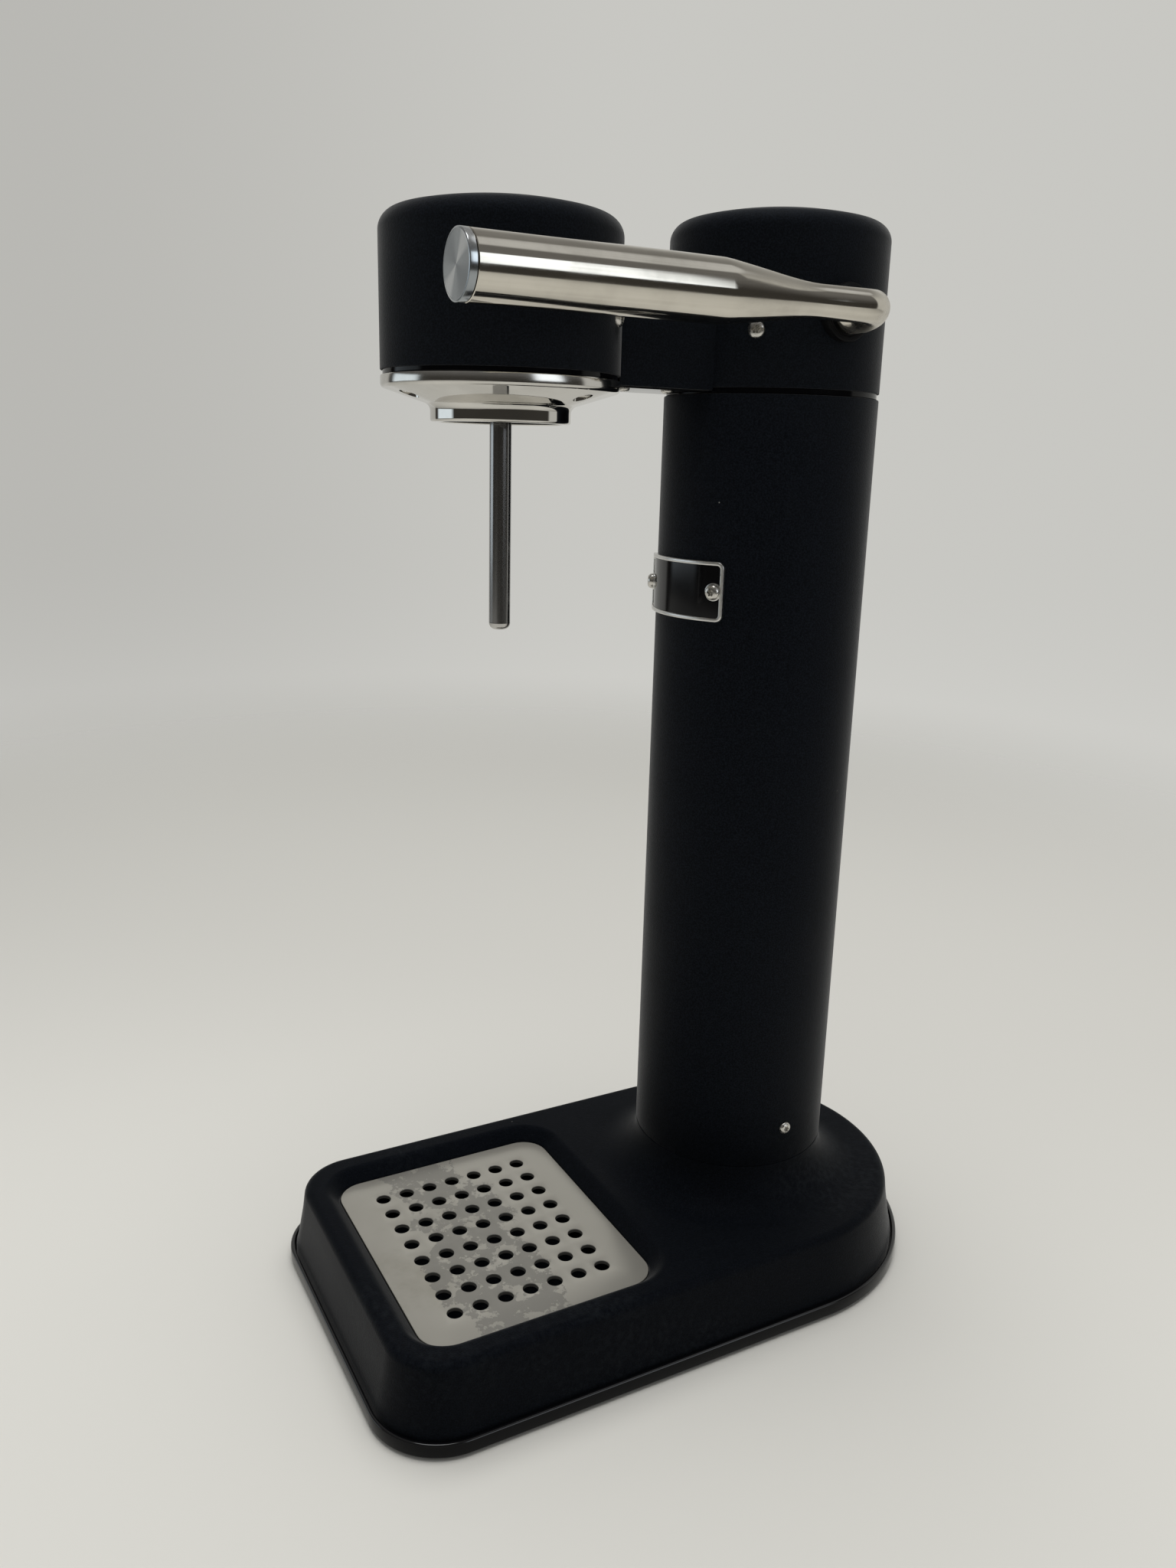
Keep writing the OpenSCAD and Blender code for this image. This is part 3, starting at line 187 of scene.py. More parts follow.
class Finish:
    """A material. Arithmetic on its values adds Math nodes, and node() adds any other node."""

    def __init__(self, name, colour=(0.5, 0.5, 0.5), **fixed):
        self.material = bpy.data.materials.new(name)
        self.material.use_nodes = True
        self.tree = self.material.node_tree
        self.shader = self.tree.nodes["Principled BSDF"]
        self.shader.inputs["Base Color"].default_value = (*colour, 1)
        for socket, value in fixed.items():
            self.shader.inputs[socket.replace("_", " ").title().replace("Ior", "IOR")].default_value = value
        self.place = self.node("TexCoord", out="Object")

    def node(self, kind, settings=None, inputs=None, out=0):
        made = self.tree.nodes.new("ShaderNode" + kind)
        for key, value in (settings or {}).items():
            setattr(made, key, value)
        for key, value in (inputs or {}).items():
            self.feed(made.inputs[key], value)
        return Value(self, made.outputs[out])

    def feed(self, socket, value):
        if isinstance(value, Value):
            self.tree.links.new(value.socket, socket)
        else:
            socket.default_value = value

    def give(self, **values):
        for socket, value in values.items():
            self.feed(self.shader.inputs[socket.replace("_", " ")], value)

    def noise(self, scale, detail=2.0, stretch=(1, 1, 1), rough=0.5):
        """Noise on the object's own coordinates, with scale in waves to a metre."""
        spot = self.node("VectorMath", {"operation": "MULTIPLY"}, {0: self.place, 1: stretch})
        return self.node("TexNoise", None, {"Vector": spot, "Scale": scale, "Detail": detail, "Roughness": rough})

    def step(self, value, low, high):
        """Rises smoothly from 0 to 1 between two values."""
        return self.node(
            "MapRange", {"interpolation_type": "SMOOTHSTEP"}, {"Value": value, "From Min": low, "From Max": high}
        )

    def blend(self, share, first, second):
        """Mixes two colours."""
        first, second = ((*c, 1) if isinstance(c, tuple) else c for c in (first, second))
        return self.node("Mix", {"data_type": "RGBA"}, {0: share, 6: first, 7: second}, out=2)

    def axis(self, letter):
        """One of the object's own coordinates."""
        return self.node("SeparateXYZ", None, {0: self.place}, out=letter)

    def bump(self, height, strength, distance):
        self.give(Normal=self.node("Bump", None, {"Strength": strength, "Distance": distance, "Height": height}))


class Value:
    """A value in a material's tree."""

    def __init__(self, finish, socket):
        self.finish, self.socket = finish, socket

    def math(self, operation, a, b=0.0):
        return self.finish.node("Math", {"operation": operation}, {0: a, 1: b})

    def __add__(self, other):
        return self.math("ADD", self, other)

    def __sub__(self, other):
        return self.math("SUBTRACT", self, other)

    def __rsub__(self, other):
        return self.math("SUBTRACT", other, self)

    def __mul__(self, other):
        return self.math("MULTIPLY", self, other)

    __radd__, __rmul__ = __add__, __mul__

    def top(self, other):
        return self.math("MAXIMUM", self, other)


def dress(made, finish, slot, body, *nodes):
    """Gives a piece its material and its body, and puts it in the place of its CAD nodes. The slot is not used."""
    made.data.materials.clear()
    made.data.materials.append(finish.material)
    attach(made, body)
    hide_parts(*nodes)


DEEP_BLUE, BLUE_BLACK, PAINTED_SHADE_BLACK = (0.0010, 0.0016, 0.0030), (0.0062, 0.0083, 0.0128), (0.0002, 0.0006, 0.0014)
PALE_POWDER_AND_HIGHLIGHT, DUST_FILM, SPECK = (0.0125, 0.0150, 0.0180), (0.0122, 0.0148, 0.0176), (0.26, 0.26, 0.25)
coat = Finish("matte_powder_coat", specular_ior_level=0.045, sheen_weight=0.2, sheen_roughness=0.3)
grain = coat.noise(1700, 3, rough=0.62)
cloud = coat.noise(38, 4)
speck_spots = coat.node("TexVoronoi", {"distance": "EUCLIDEAN"}, {"Vector": coat.place, "Scale": 70.0})
specks = (1 - coat.step(speck_spots, 0.012, 0.022)) * coat.step(coat.noise(47, 0), 0.60, 0.64)
dust = coat.step(coat.noise(11, 5, rough=0.65), 0.46, 0.72) * coat.step(coat.noise(420, 3), 0.38, 0.7)
powder = coat.blend(coat.step(grain, 0.36, 0.68), DEEP_BLUE, BLUE_BLACK)
near_base = 1 - coat.step(coat.axis("Z"), 0.045, 0.085)
on_heads = coat.step(coat.axis("Z"), 0.335, 0.365)
# The heads are painted paler than the column and base: a painted highlight where the light falls on them.
paler_with_painted_highlight = coat.blend(0.12 + 0.14 * on_heads, powder, PALE_POWDER_AND_HIGHLIGHT)
# The base and the column's foot are painted half way to near-black: painted shade.
painted_shade_low = coat.blend(near_base * 0.5, paler_with_painted_highlight, PAINTED_SHADE_BLACK)
lint = near_base * coat.step(coat.noise(640, 2, rough=0.7), 0.62, 0.72)
film = coat.blend(dust * (0.2 + 0.3 * near_base) + lint * 0.25, painted_shade_low, DUST_FILM)
coat.give(Base_Color=coat.blend(specks * 0.8, film, SPECK), Roughness=0.44 + 0.14 * cloud + 0.14 * grain)
coat.bump(grain, 0.6, 0.00018)

WALL_IN, WALL_FOOT = 2.5, 3
EDGE_IN, EDGE_Z, TOP_R = 9.94, 29, 3.5
LEAN_RUN, LEAN_RISE = 4.5, 25.7
wall = base_face("pressed_base", WALL_IN, WALL_FOOT)
lean = math.atan2(LEAN_RUN, LEAN_RISE)
carry(
    [(WALL_IN, WALL_FOOT), (WALL_IN, 7.2), (2.72, 7.9), (3.05, 9), (3.35, 10.4), (3.65, 12), (4.2, 15), (5.55, 22.5)]
    + [(EDGE_IN - x, z) for x, z in arc((0, EDGE_Z), TOP_R, math.degrees(lean), 90, 8)]
    + [(10.7, BASE_TOP)]
)
bpy.ops.mesh.delete(type="FACE")
bpy.ops.object.mode_set(mode="OBJECT")

DISH_W, DISH_D, DISH_CORNER = 123.5, 108, (18, 14)
dish = rounded_plate("dish", DISH_W, DISH_D, PLATE_Y, BASE_TOP, (DISH_CORNER, DISH_CORNER))
carry([
    (0, BASE_TOP), (0.5, 32.48), (1.1, 32.36), (1.8, 32.05), (2.6, 31.45), (3.6, 30.5), (5.0, 29.05), (5.9, 28.1),
    (6.3, 27.6), (6.5, 27.1), (6.5, 25.95), (10.9, 25.95), (11.3, 25.5), (11.4, 14.5), (12, 13), (13.4, 12.1),
    (15, 11.95),
])
bpy.ops.object.mode_set(mode="OBJECT")

FLARE_R = 17
flare = turned(
    "flare",
    [(58, BASE_TOP)] + arc((COLUMN_R + FLARE_R, BASE_TOP + FLARE_R), FLARE_R, 270, 180, 14)
    + [(COLUMN_R, 49.75), (39.87, 50.07), (39.6, 50.2), (COLUMN_BORE, 50.2), (COLUMN_BORE, WALL_FOOT)],
    (0, COLUMN_Y, 0),
)
base = joined(wall, dish, flare)
bpy.ops.object.mode_set(mode="EDIT")
for level in (BASE_TOP, WALL_FOOT):
    pick("EDGE", lambda p, e: e.is_boundary and abs(p.z - level) < 0.01)
    bpy.ops.mesh.fill(use_beauty=True)
done(base)
dress(base, coat, "coat_black", "machine", "base_shell", "column_foot", "basin_tub")


# Base pan: a moulded gloss-black tray that the shell stands in. Its rounded rim shows all round the foot,
# with a fine open groove between the rim's lip and the wall.
def cut_away(made, cutter):
    """Cuts one mesh out of another and removes the cutter."""
    hole = made.modifiers.new("cut", "BOOLEAN")
    hole.object, hole.operation, hole.solver = cutter, "DIFFERENCE", "EXACT"
    bpy.ops.object.select_all(action="DESELECT")
    made.select_set(True)
    bpy.context.view_layer.objects.active = made
    bpy.ops.object.modifier_apply(modifier=hole.name)
    bpy.data.objects.remove(cutter)
    bpy.ops.object.mode_set(mode="EDIT")
    return done(made)


gloss = Finish("gloss_black_moulding", (0.0022, 0.0023, 0.0030), specular_ior_level=0.13)
smear = gloss.noise(70, 4)
lip = gloss.step(gloss.axis("Z"), 0.0061, 0.0066) * (1 - gloss.step(gloss.axis("Z"), 0.02, 0.03))
gloss.give(Roughness=0.05 + 0.08 * gloss.step(smear, 0.4, 0.75), Coat_Weight=lip)

PAN_FOOT, RIM_Z, RIM_R = 2, 6, 0.8
PAN_SCREWS = [(side * x, y) for side in (-1, 1) for x, y in ((63.5, -89.9), (63.5, -19.9), (55, 70))]
pan = base_face("gloss_pan", 0, PAN_FOOT)
bpy.ops.mesh.extrude_region_move(TRANSFORM_OT_translate={"value": (0, 0, (RIM_Z - PAN_FOOT) * MM)})
carry(
    [(0, RIM_Z)] + arc((RIM_R, RIM_Z), RIM_R, 180, 90, 5)[1:]
    + [(1.25, 6.8), (1.5, 6.72), (1.6, 6.5), (1.6, 3.0)]
)
pick("FACE", lambda p, f: f.normal.z < -0.5)
carry([(0, 0)] + arc((RIM_R, 0), RIM_R, 180, 90, 4)[1:] + [(1.2, 1.2)])
done(pan)
mouth = turned("mouth", [(0, -1), (31.5, -1), (31.5, 4), (0, 4)], (0, COLUMN_Y, 0))
wells = [
    turned("well", [(0, 0), (3.1, 0), (3.1, 2), (1.6, 2), (1.6, 4), (0, 4)], (x, y, 0), steps=24)
    for x, y in PAN_SCREWS
]
cut_away(pan, joined(mouth, *wells))
dress(pan, gloss, "gloss_black", "machine", "base_pan")


# Drip plate: stainless sheet, punched with round drain holes, satin from rolling, and spotted with dried
# water. It lies loose on the ledge of the dish with a thin gap all round.
PLATE_W, PLATE_D, PLATE_TOP, HOLE_R, RIM_OUT = 109.5, 94, 27.5, 3, 0.22
PITCH_X, PITCH_Y, HOLES_X, HOLES_Y = 11.2, 10.2, 8, 7
EDGE_TURN, PLATE_CORNER = 0.5, (10.75, 12)

plate_steel = Finish("rolled_plate_steel")
along = plate_steel.axis("Y")
roll_lines = plate_steel.noise(900, 2, stretch=(1, 0.02, 1))
ragged = along + 0.05 * (plate_steel.noise(60, 6, rough=0.68) - 0.5) + 0.03 * (plate_steel.noise(17, 2) - 0.5)
scale_zone = plate_steel.step(ragged, -0.0885, -0.0878) * (1 - plate_steel.step(ragged, -0.0502, -0.0495))
flakes = scale_zone * plate_steel.step(plate_steel.noise(120, 7, rough=0.7), 0.45, 0.462)
smudge = plate_steel.step(plate_steel.noise(30, 5, rough=0.6), 0.5, 0.78)
smudge = smudge * (1 - plate_steel.step(along, -0.098, -0.070))
washed = plate_steel.step(plate_steel.noise(24, 3), 0.35, 0.65)
patina = plate_steel.blend(washed, (0.425, 0.411, 0.371), (0.455, 0.441, 0.40))
marked = plate_steel.blend(smudge * 0.5, patina, (0.29, 0.268, 0.218))
scaled = plate_steel.blend(flakes * 0.85, marked, (0.285, 0.278, 0.256))
# Below the plate's top face, on the hole walls, the edges and the underside, the colour is painted dark grey and not
# metallic: painted shade.
upper_face = plate_steel.step(plate_steel.axis("Z"), 0.02716, 0.02727)
plate_steel.give(
    Base_Color=plate_steel.blend(upper_face, (0.07, 0.068, 0.062), scaled),
    Metallic=0.6 * upper_face,
    Roughness=0.26 + 0.05 * washed + 0.14 * flakes + 0.12 * smudge + 0.05 * roll_lines,
)
plate_steel.bump(roll_lines, 0.12, 0.00005)

plate = start(bpy.ops.mesh.primitive_plane_add, "punched_plate", size=1, location=(0, 0, 0))
bpy.ops.transform.resize(value=(PITCH_X * MM, PITCH_Y * MM, 1))
bpy.ops.mesh.delete(type="ONLY_FACE")
pick("EDGE", lambda p, e: True)
bpy.ops.mesh.subdivide(number_cuts=7)
bpy.ops.mesh.primitive_circle_add(vertices=32, radius=(HOLE_R + RIM_OUT) * MM, location=(0, 0, 0))
bpy.ops.mesh.select_mode(type="EDGE")
bpy.ops.mesh.select_all(action="SELECT")
bpy.ops.mesh.bridge_edge_loops()
rim = [(HOLE_R + RIM_OUT, 0), (HOLE_R + 0.06, -0.06), (HOLE_R, -RIM_OUT), (HOLE_R, -1.5)]
for (r0, h0), (r1, h1) in zip(rim, rim[1:]):
    pick("EDGE", lambda p, e: e.is_boundary and p.length < HOLE_R + 1 and abs(p.z - h0) < 0.01)
    bpy.ops.mesh.extrude_region_move(TRANSFORM_OT_translate={"value": (0, 0, (h1 - h0) * MM)})
    bpy.ops.transform.resize(value=(r1 / r0, r1 / r0, 1), center_override=(0, 0, 0))
bpy.ops.object.mode_set(mode="OBJECT")
for count, offset in ((HOLES_X, (PITCH_X * MM, 0, 0)), (HOLES_Y, (0, PITCH_Y * MM, 0))):
    row = plate.modifiers.new("row", "ARRAY")
    row.count, row.use_relative_offset, row.use_constant_offset = count, False, True
    row.constant_offset_displace, row.use_merge_vertices, row.merge_threshold = offset, True, 0.01 * MM
    bpy.ops.object.modifier_apply(modifier=row.name)
bpy.ops.object.mode_set(mode="EDIT")
bpy.ops.mesh.select_all(action="SELECT")
first_x, first_y = -(HOLES_X - 1) / 2 * PITCH_X, PLATE_Y - (HOLES_Y - 1) / 2 * PITCH_Y
bpy.ops.transform.translate(value=(first_x * MM, first_y * MM, PLATE_TOP * MM))
bpy.ops.object.mode_set(mode="OBJECT")
edge = rounded_plate(
    "plate_edge", PLATE_W - EDGE_TURN, PLATE_D - EDGE_TURN, PLATE_Y, PLATE_TOP, (PLATE_CORNER, PLATE_CORNER)
)
bpy.ops.mesh.delete(type="ONLY_FACE")
bpy.ops.object.mode_set(mode="OBJECT")
joined(plate, edge)
bpy.ops.object.mode_set(mode="EDIT")
pick("EDGE", lambda p, e: (e.is_boundary or e.is_wire) and p.z > PLATE_TOP - 0.01)
bpy.ops.mesh.fill(use_beauty=True)
for grow, drop in ((0.18, 0.07), (0.07, 0.18), (0, 1.25)):
    pick("EDGE", lambda p, e: e.is_boundary and (abs(p.x) > 45.5 or abs(p.y - PLATE_Y) > 37))
    bpy.ops.mesh.extrude_region_move(TRANSFORM_OT_translate={"value": (0, 0, -drop * MM)})
    bpy.ops.transform.resize(
        value=(1 + 2 * grow / PLATE_W, 1 + 2 * grow / PLATE_D, 1), center_override=(0, PLATE_Y * MM, 0)
    )
pick("EDGE", lambda p, e: e.is_boundary)
bpy.ops.mesh.fill(use_beauty=True)
done(plate)
dress(plate, plate_steel, "satin_steel", "drip_plate", "drip_plate")


# Column: a drawn tube, coated like the base, pushed over a socket inside the base's flare. A fine bevel at
# each end makes the seam above the flare and the shadow line under the rear head.
column = turned(
    "column",
    [(COLUMN_BORE, 50.25), (39.6, 50.25), (39.87, 50.38), (COLUMN_R, 50.7), (COLUMN_R, 352.15), (39.87, 352.47),
     (39.6, 352.6), (COLUMN_BORE, 352.6), (COLUMN_BORE, 50.25)],
    (0, COLUMN_Y, 0), steps=160,
)
dress(column, coat, "coat_black", "machine", "column_tube")


# Heads: two deep-drawn caps with a slightly domed top and a soft edge, coated like the column. The rear one
# covers the gas valve, the front one the head of the nozzle.
DOME_RISE, EDGE_R, HEAD_BORE, SKIRT = 5.6, 6.4, 38.5, 40
DOME_R = (COLUMN_R ** 2 + DOME_RISE ** 2) / (2 * DOME_RISE)
edge_x = COLUMN_R - EDGE_R
edge_drop = DOME_R - math.sqrt((DOME_R - EDGE_R) ** 2 - edge_x ** 2)
tilt = math.degrees(math.asin(edge_x / (DOME_R - EDGE_R)))
for name, foot, top, at in (("rear_head", 354.7, 417, COLUMN_Y), ("front_head", 356.0, 409, NOZZLE_Y)):
    outline = [(HEAD_BORE, foot + SKIRT), (HEAD_BORE, foot), (39.75, foot)]
    outline += [(39.93, foot + 0.1), (COLUMN_R, foot + 0.35)]
    outline += arc((edge_x, top - edge_drop), EDGE_R, 0, 90 - tilt, 14)
    outline += arc((0, top - DOME_R), DOME_R, 90 - tilt, 90, 16)[1:]
    head = turned(name, outline, (0, at, 0), steps=160)
    dress(head, coat, "coat_black", "machine", name + "_shell")


# Bridge: a folded channel between the heads, coated like them, its ends cut to fit round both caps.
bridge = start(bpy.ops.mesh.primitive_cube_add, "bridge", size=1, location=(0, 0, 0))
bpy.ops.transform.resize(value=Vector((32, 60, 40.4)) * MM)
bpy.ops.transform.translate(value=Vector((0, -3, 373.8)) * MM)
pick("EDGE", lambda p, e: p.z > 390 and abs(p.x) > 10)
bpy.ops.mesh.bevel(offset=4 * MM, segments=8, affect="EDGES")
pick("EDGE", lambda p, e: p.z < 354 and abs(p.x) > 10)
bpy.ops.mesh.bevel(offset=0.5 * MM, segments=3, affect="EDGES")
done(bridge)
CAP_ROOM = COLUMN_R + 0.05
for at in (COLUMN_Y, NOZZLE_Y):
    cut_away(bridge, turned("cap", [(0, 330), (CAP_ROOM, 330), (CAP_ROOM, 420), (0, 420)], (0, at, 0), steps=160))
dress(bridge, coat, "coat_black", "machine", "bridge_shell")


# Chassis: a gloss-black moulding inside both heads. Only its edges show: a ring behind the shadow gap over
# the column, a ring on top of the collar, and the beam that closes the bridge from below.
rear_ring = turned(
    "chassis_moulding",
    [(21.9, 345), (38.7, 345), (38.7, 352.6), (39.0, 352.65), (39.2, 352.85), (39.2, 354.6), (38.4, 354.7),
     (38.4, 392), (35.4, 392), (35.4, 354.9), (21.9, 354.9), (21.9, 345)],
    (0, COLUMN_Y, 0), steps=160,
)
front_ring = turned(
    "front_ring",
    [(11.6, 354.45), (38.9, 354.45), (39.15, 354.55), (39.2, 354.8), (39.2, 355.9), (38.4, 356), (38.4, 379),
     (35.4, 379), (35.4, 358.4), (11.6, 358.4), (11.6, 354.45)],
    (0, NOZZLE_Y, 0), steps=160,
)
beam = start(bpy.ops.mesh.primitive_cube_add, "beam", size=1, location=(0, 0, 0))
bpy.ops.transform.resize(value=Vector((28.8, 62, 3.6)) * MM)
bpy.ops.transform.translate(value=Vector((0, -3.2, 354.8)) * MM)
pick("EDGE", lambda p, e: p.z < 354 and abs(p.x) > 10)
bpy.ops.mesh.bevel(offset=0.6 * MM, segments=3, affect="EDGES")
done(beam)
BEAM_END_R = 37
for at in (COLUMN_Y, NOZZLE_Y):
    cut_away(beam, turned("end", [(0, 340), (BEAM_END_R, 340), (BEAM_END_R, 360), (0, 360)], (0, at, 0)))
dress(joined(rear_ring, front_ring, beam), gloss, "gloss_black", "machine", "chassis")


# Bottle collar: turned stainless steel, polished to a mirror, screwed up under the front head. A straight
# band, a sloping underside with three sunk screws, a fillet, and a short neck for the bottle's mouth.
mirror = Finish("mirror_steel", metallic=1.0)
haze = mirror.noise(55, 5, rough=0.6)
turning = mirror.noise(1500, 2, stretch=(0.04, 0.04, 1))
band = mirror.step(mirror.axis("Z"), 0.3503, 0.3512)
mirror.give(
    Base_Color=mirror.blend(mirror.step(haze, 0.4, 0.7), (0.66, 0.645, 0.61), (0.58, 0.565, 0.53)),
    Roughness=0.03 + 0.05 * mirror.step(haze, 0.45, 0.75) + 0.10 * band,
)
mirror.bump(turning, 0.04, 0.00003)
COLLAR_RING, SINK_R, SINK_TOP = 32.5, 3.25, 351.4
sink_turns = [math.radians(a) for a in (30, 150, 270)]
sink_spots = [(COLLAR_RING * math.cos(a), NOZZLE_Y + COLLAR_RING * math.sin(a)) for a in sink_turns]
collar = turned(
    "polished_collar",
    [(11.6, 354.4), (39.5, 354.4), (39.85, 354.28), (40, 353.95)]
    + arc((38.5, 351.7), 1.5, 0, -72.3, 8)
    + arc((26.3, 343.55), 2.6, 107.7, 180, 10)
    + arc((22.8, 340.9), 0.9, 0, -90, 6)
    + [(20.9, 340.0), (20.5, 340.3), (20.5, 352), (11.6, 352), (11.6, 354.4)],
    (0, NOZZLE_Y, 0), steps=160,
)
sinks = [
    turned("sink", [(0, 335), (SINK_R, 335), (SINK_R, SINK_TOP), (0, SINK_TOP)], (x, y, 0), steps=40)
    for x, y in sink_spots
]
cut_away(collar, joined(*sinks))
dress(collar, mirror, "polished_steel", "machine", "bottle_collar")


# Seal in the collar's mouth, and the rubber washer over the cylinder's thread: black moulded rubber.
rubber = Finish("black_rubber", (0.010, 0.010, 0.010), specular_ior_level=0.3)
rubber.give(Roughness=0.5 + 0.25 * rubber.noise(400, 3))
seal = turned(
    "mouth_seal",
    [(20.4, 341.5), (20.1, 341.2), (19.2, 341.2), (18.9, 341.35), (18.8, 341.7), (18.8, 345.8), (19.1, 346.2),
     (20.4, 346.2), (20.4, 341.5)],
    (0, NOZZLE_Y, 0), steps=96,
)
dress(seal, rubber, "seal_rubber", "machine", "bottle_seal")


# Nozzle: a drawn steel tube, darkened by the wet, with a turned tip pressed into its end.
tube_steel = Finish("dark_nozzle_steel", metallic=1.0)
draw = tube_steel.noise(1400, 3, stretch=(1, 1, 0.01))
tube_steel.give(
    Base_Color=tube_steel.blend(tube_steel.noise(60, 3), (0.30, 0.30, 0.305), (0.40, 0.395, 0.385)),
    Roughness=0.12 + 0.12 * draw,
)
tube_steel.bump(draw, 0.06, 0.00004)
nozzle = turned(
    "nozzle",
    [(2.25, 357), (3.75, 357), (3.75, 272.95), (3.6, 272.8), (2.25, 272.8), (2.25, 357)],
    (0, NOZZLE_Y, 0), steps=64,
)
dress(nozzle, tube_steel, "nozzle_steel", "machine", "nozzle_tube")
tip_steel = Finish("turned_tip_steel", (0.52, 0.51, 0.49), metallic=1.0)
tip_steel.give(Roughness=0.2 + 0.1 * tip_steel.noise(900, 2))
tip = turned(
    "nozzle_end",
    [(0.6, 277), (0.6, 270.7), (0.75, 270.5)] + arc((1.45, 272.8), 2.3, -90, 0, 8)[1:]
    + [(3.62, 272.8), (2.15, 272.8), (2.15, 276.8), (0.6, 277)],
    (0, NOZZLE_Y, 0), steps=64,
)
dress(tip, tip_steel, "nozzle_steel", "machine", "nozzle_tip")


# Badge: a thin pressed frame with a round tab at each end for its screw, bent to the column and polished,
# round a black enamel field that is left bare.
BADGE_Z, BADGE_L, BADGE_H, FRAME_W = 283.4, 49.9, 21.8, 1.4
BADGE_CORNER, TAB_X = (2.6, 10), 21.2


def wrapped(made):
    """Stands a flat piece up, bends it round the column's front and lifts it to its height."""
    bpy.ops.object.mode_set(mode="OBJECT")
    length = 2 * max(v.co.x for v in made.data.vertices) / MM
    made.rotation_euler.x = math.pi / 2
    bpy.ops.object.transform_apply(location=True, rotation=True, scale=True)
    bow = made.modifiers.new("bow", "SIMPLE_DEFORM")
    bow.deform_method, bow.deform_axis, bow.angle = "BEND", "Z", length / COLUMN_R
    bpy.ops.object.modifier_apply(modifier=bow.name)
    bpy.ops.object.mode_set(mode="EDIT")
    bpy.ops.mesh.select_all(action="SELECT")
    bpy.ops.transform.translate(value=(0, (COLUMN_Y - COLUMN_R) * MM, BADGE_Z * MM))
    return done(made, 40)


badge = rounded_plate("badge_surround", BADGE_L, BADGE_H, 0, 0, (BADGE_CORNER, BADGE_CORNER))
bpy.ops.mesh.inset(thickness=FRAME_W * MM, use_even_offset=True)
bpy.ops.mesh.delete(type="FACE")
pick("EDGE", lambda p, e: abs(p.x) < 1)
bpy.ops.mesh.subdivide(number_cuts=39)
bpy.ops.mesh.select_mode(type="FACE")
bpy.ops.mesh.select_all(action="SELECT")
bpy.ops.mesh.extrude_region_move(TRANSFORM_OT_translate={"value": (0, 0, 1.6 * MM)})
pick("EDGE", lambda p, e: p.z > 1.5 and sum(f.normal.z > 0.5 for f in e.link_faces) == 1)
bpy.ops.mesh.bevel(offset=0.42 * MM, segments=4, affect="EDGES")
bpy.ops.object.mode_set(mode="OBJECT")
tabs = [
    turned("tab", [(0, 0), (3.3, 0), (3.3, 1.3), (3.2, 1.48), (3.0, 1.55), (0, 1.55)], (side * TAB_X, 0, 0), steps=40)
    for side in (-1, 1)
]
wrapped(joined(badge, *tabs))
pressed = Finish("pressed_frame_steel", metallic=1.0)
pressed.give(
    Base_Color=pressed.blend(pressed.noise(150, 3), (0.66, 0.655, 0.635), (0.76, 0.755, 0.735)),
    Roughness=0.24 + 0.12 * pressed.noise(700, 3),
)
dress(badge, pressed, "polished_steel", "machine", "badge_frame")

enamel = Finish("black_enamel", (0.0022, 0.0022, 0.003), specular_ior_level=0.42)
enamel.give(Roughness=0.05 + 0.06 * enamel.noise(120, 3))
field = start(
    bpy.ops.mesh.primitive_grid_add, "badge_field", x_subdivisions=40, y_subdivisions=1, size=1, location=(0, 0, 0)
)
bpy.ops.transform.resize(value=((BADGE_L - FRAME_W) * MM, (BADGE_H - FRAME_W) * MM, 1))
bpy.ops.mesh.extrude_region_move(TRANSFORM_OT_translate={"value": (0, 0, 1 * MM)})
wrapped(field)
dress(field, enamel, "badge_black", "machine", "badge_plate")


# Screws: stainless button heads with a six-lobed socket. One is modelled and copied to each place at its
# own size: heads, column, badge, collar, and under the bridge and the pan.
screw_steel = Finish("screw_steel", (0.62, 0.60, 0.56), metallic=1.0)
screw_steel.give(Roughness=0.20 + 0.14 * screw_steel.noise(700, 3))
BUTTON_RISE = 0.54
button = start(
    bpy.ops.mesh.primitive_circle_add, "button", vertices=48, radius=1, fill_type="NGON", location=(0, 0, 0)
)
pick("FACE", lambda p, f: True)
bpy.ops.mesh.extrude_region_move(TRANSFORM_OT_translate={"value": (0, 0, 0.12)})
for thickness, depth in ((0.02, 0.09), (0.05, 0.1), (0.08, 0.09), (0.1, 0.07), (0.12, 0.05), (0.13, 0.02)):
    bpy.ops.mesh.inset(thickness=thickness, depth=depth)
pick("VERT", lambda p, v: v.co.z > BUTTON_RISE - 0.01 and math.cos(6 * math.atan2(v.co.y, v.co.x)) < 0.1)
bpy.ops.transform.resize(value=(0.84, 0.84, 1), center_override=(0, 0, 0))
pick("VERT", lambda p, v: v.co.z > BUTTON_RISE - 0.01 and math.cos(6 * math.atan2(v.co.y, v.co.x)) < -0.6)
bpy.ops.transform.resize(value=(0.9, 0.9, 1), center_override=(0, 0, 0))
pick("FACE", lambda p, f: len(f.verts) > 4 and f.normal.z > 0.9)
bpy.ops.mesh.inset(thickness=0.03, depth=-0.04)
bpy.ops.mesh.extrude_region_move(TRANSFORM_OT_translate={"value": (0, 0, -0.3)})
bpy.ops.mesh.inset(thickness=0.1, depth=-0.08)
done(button)


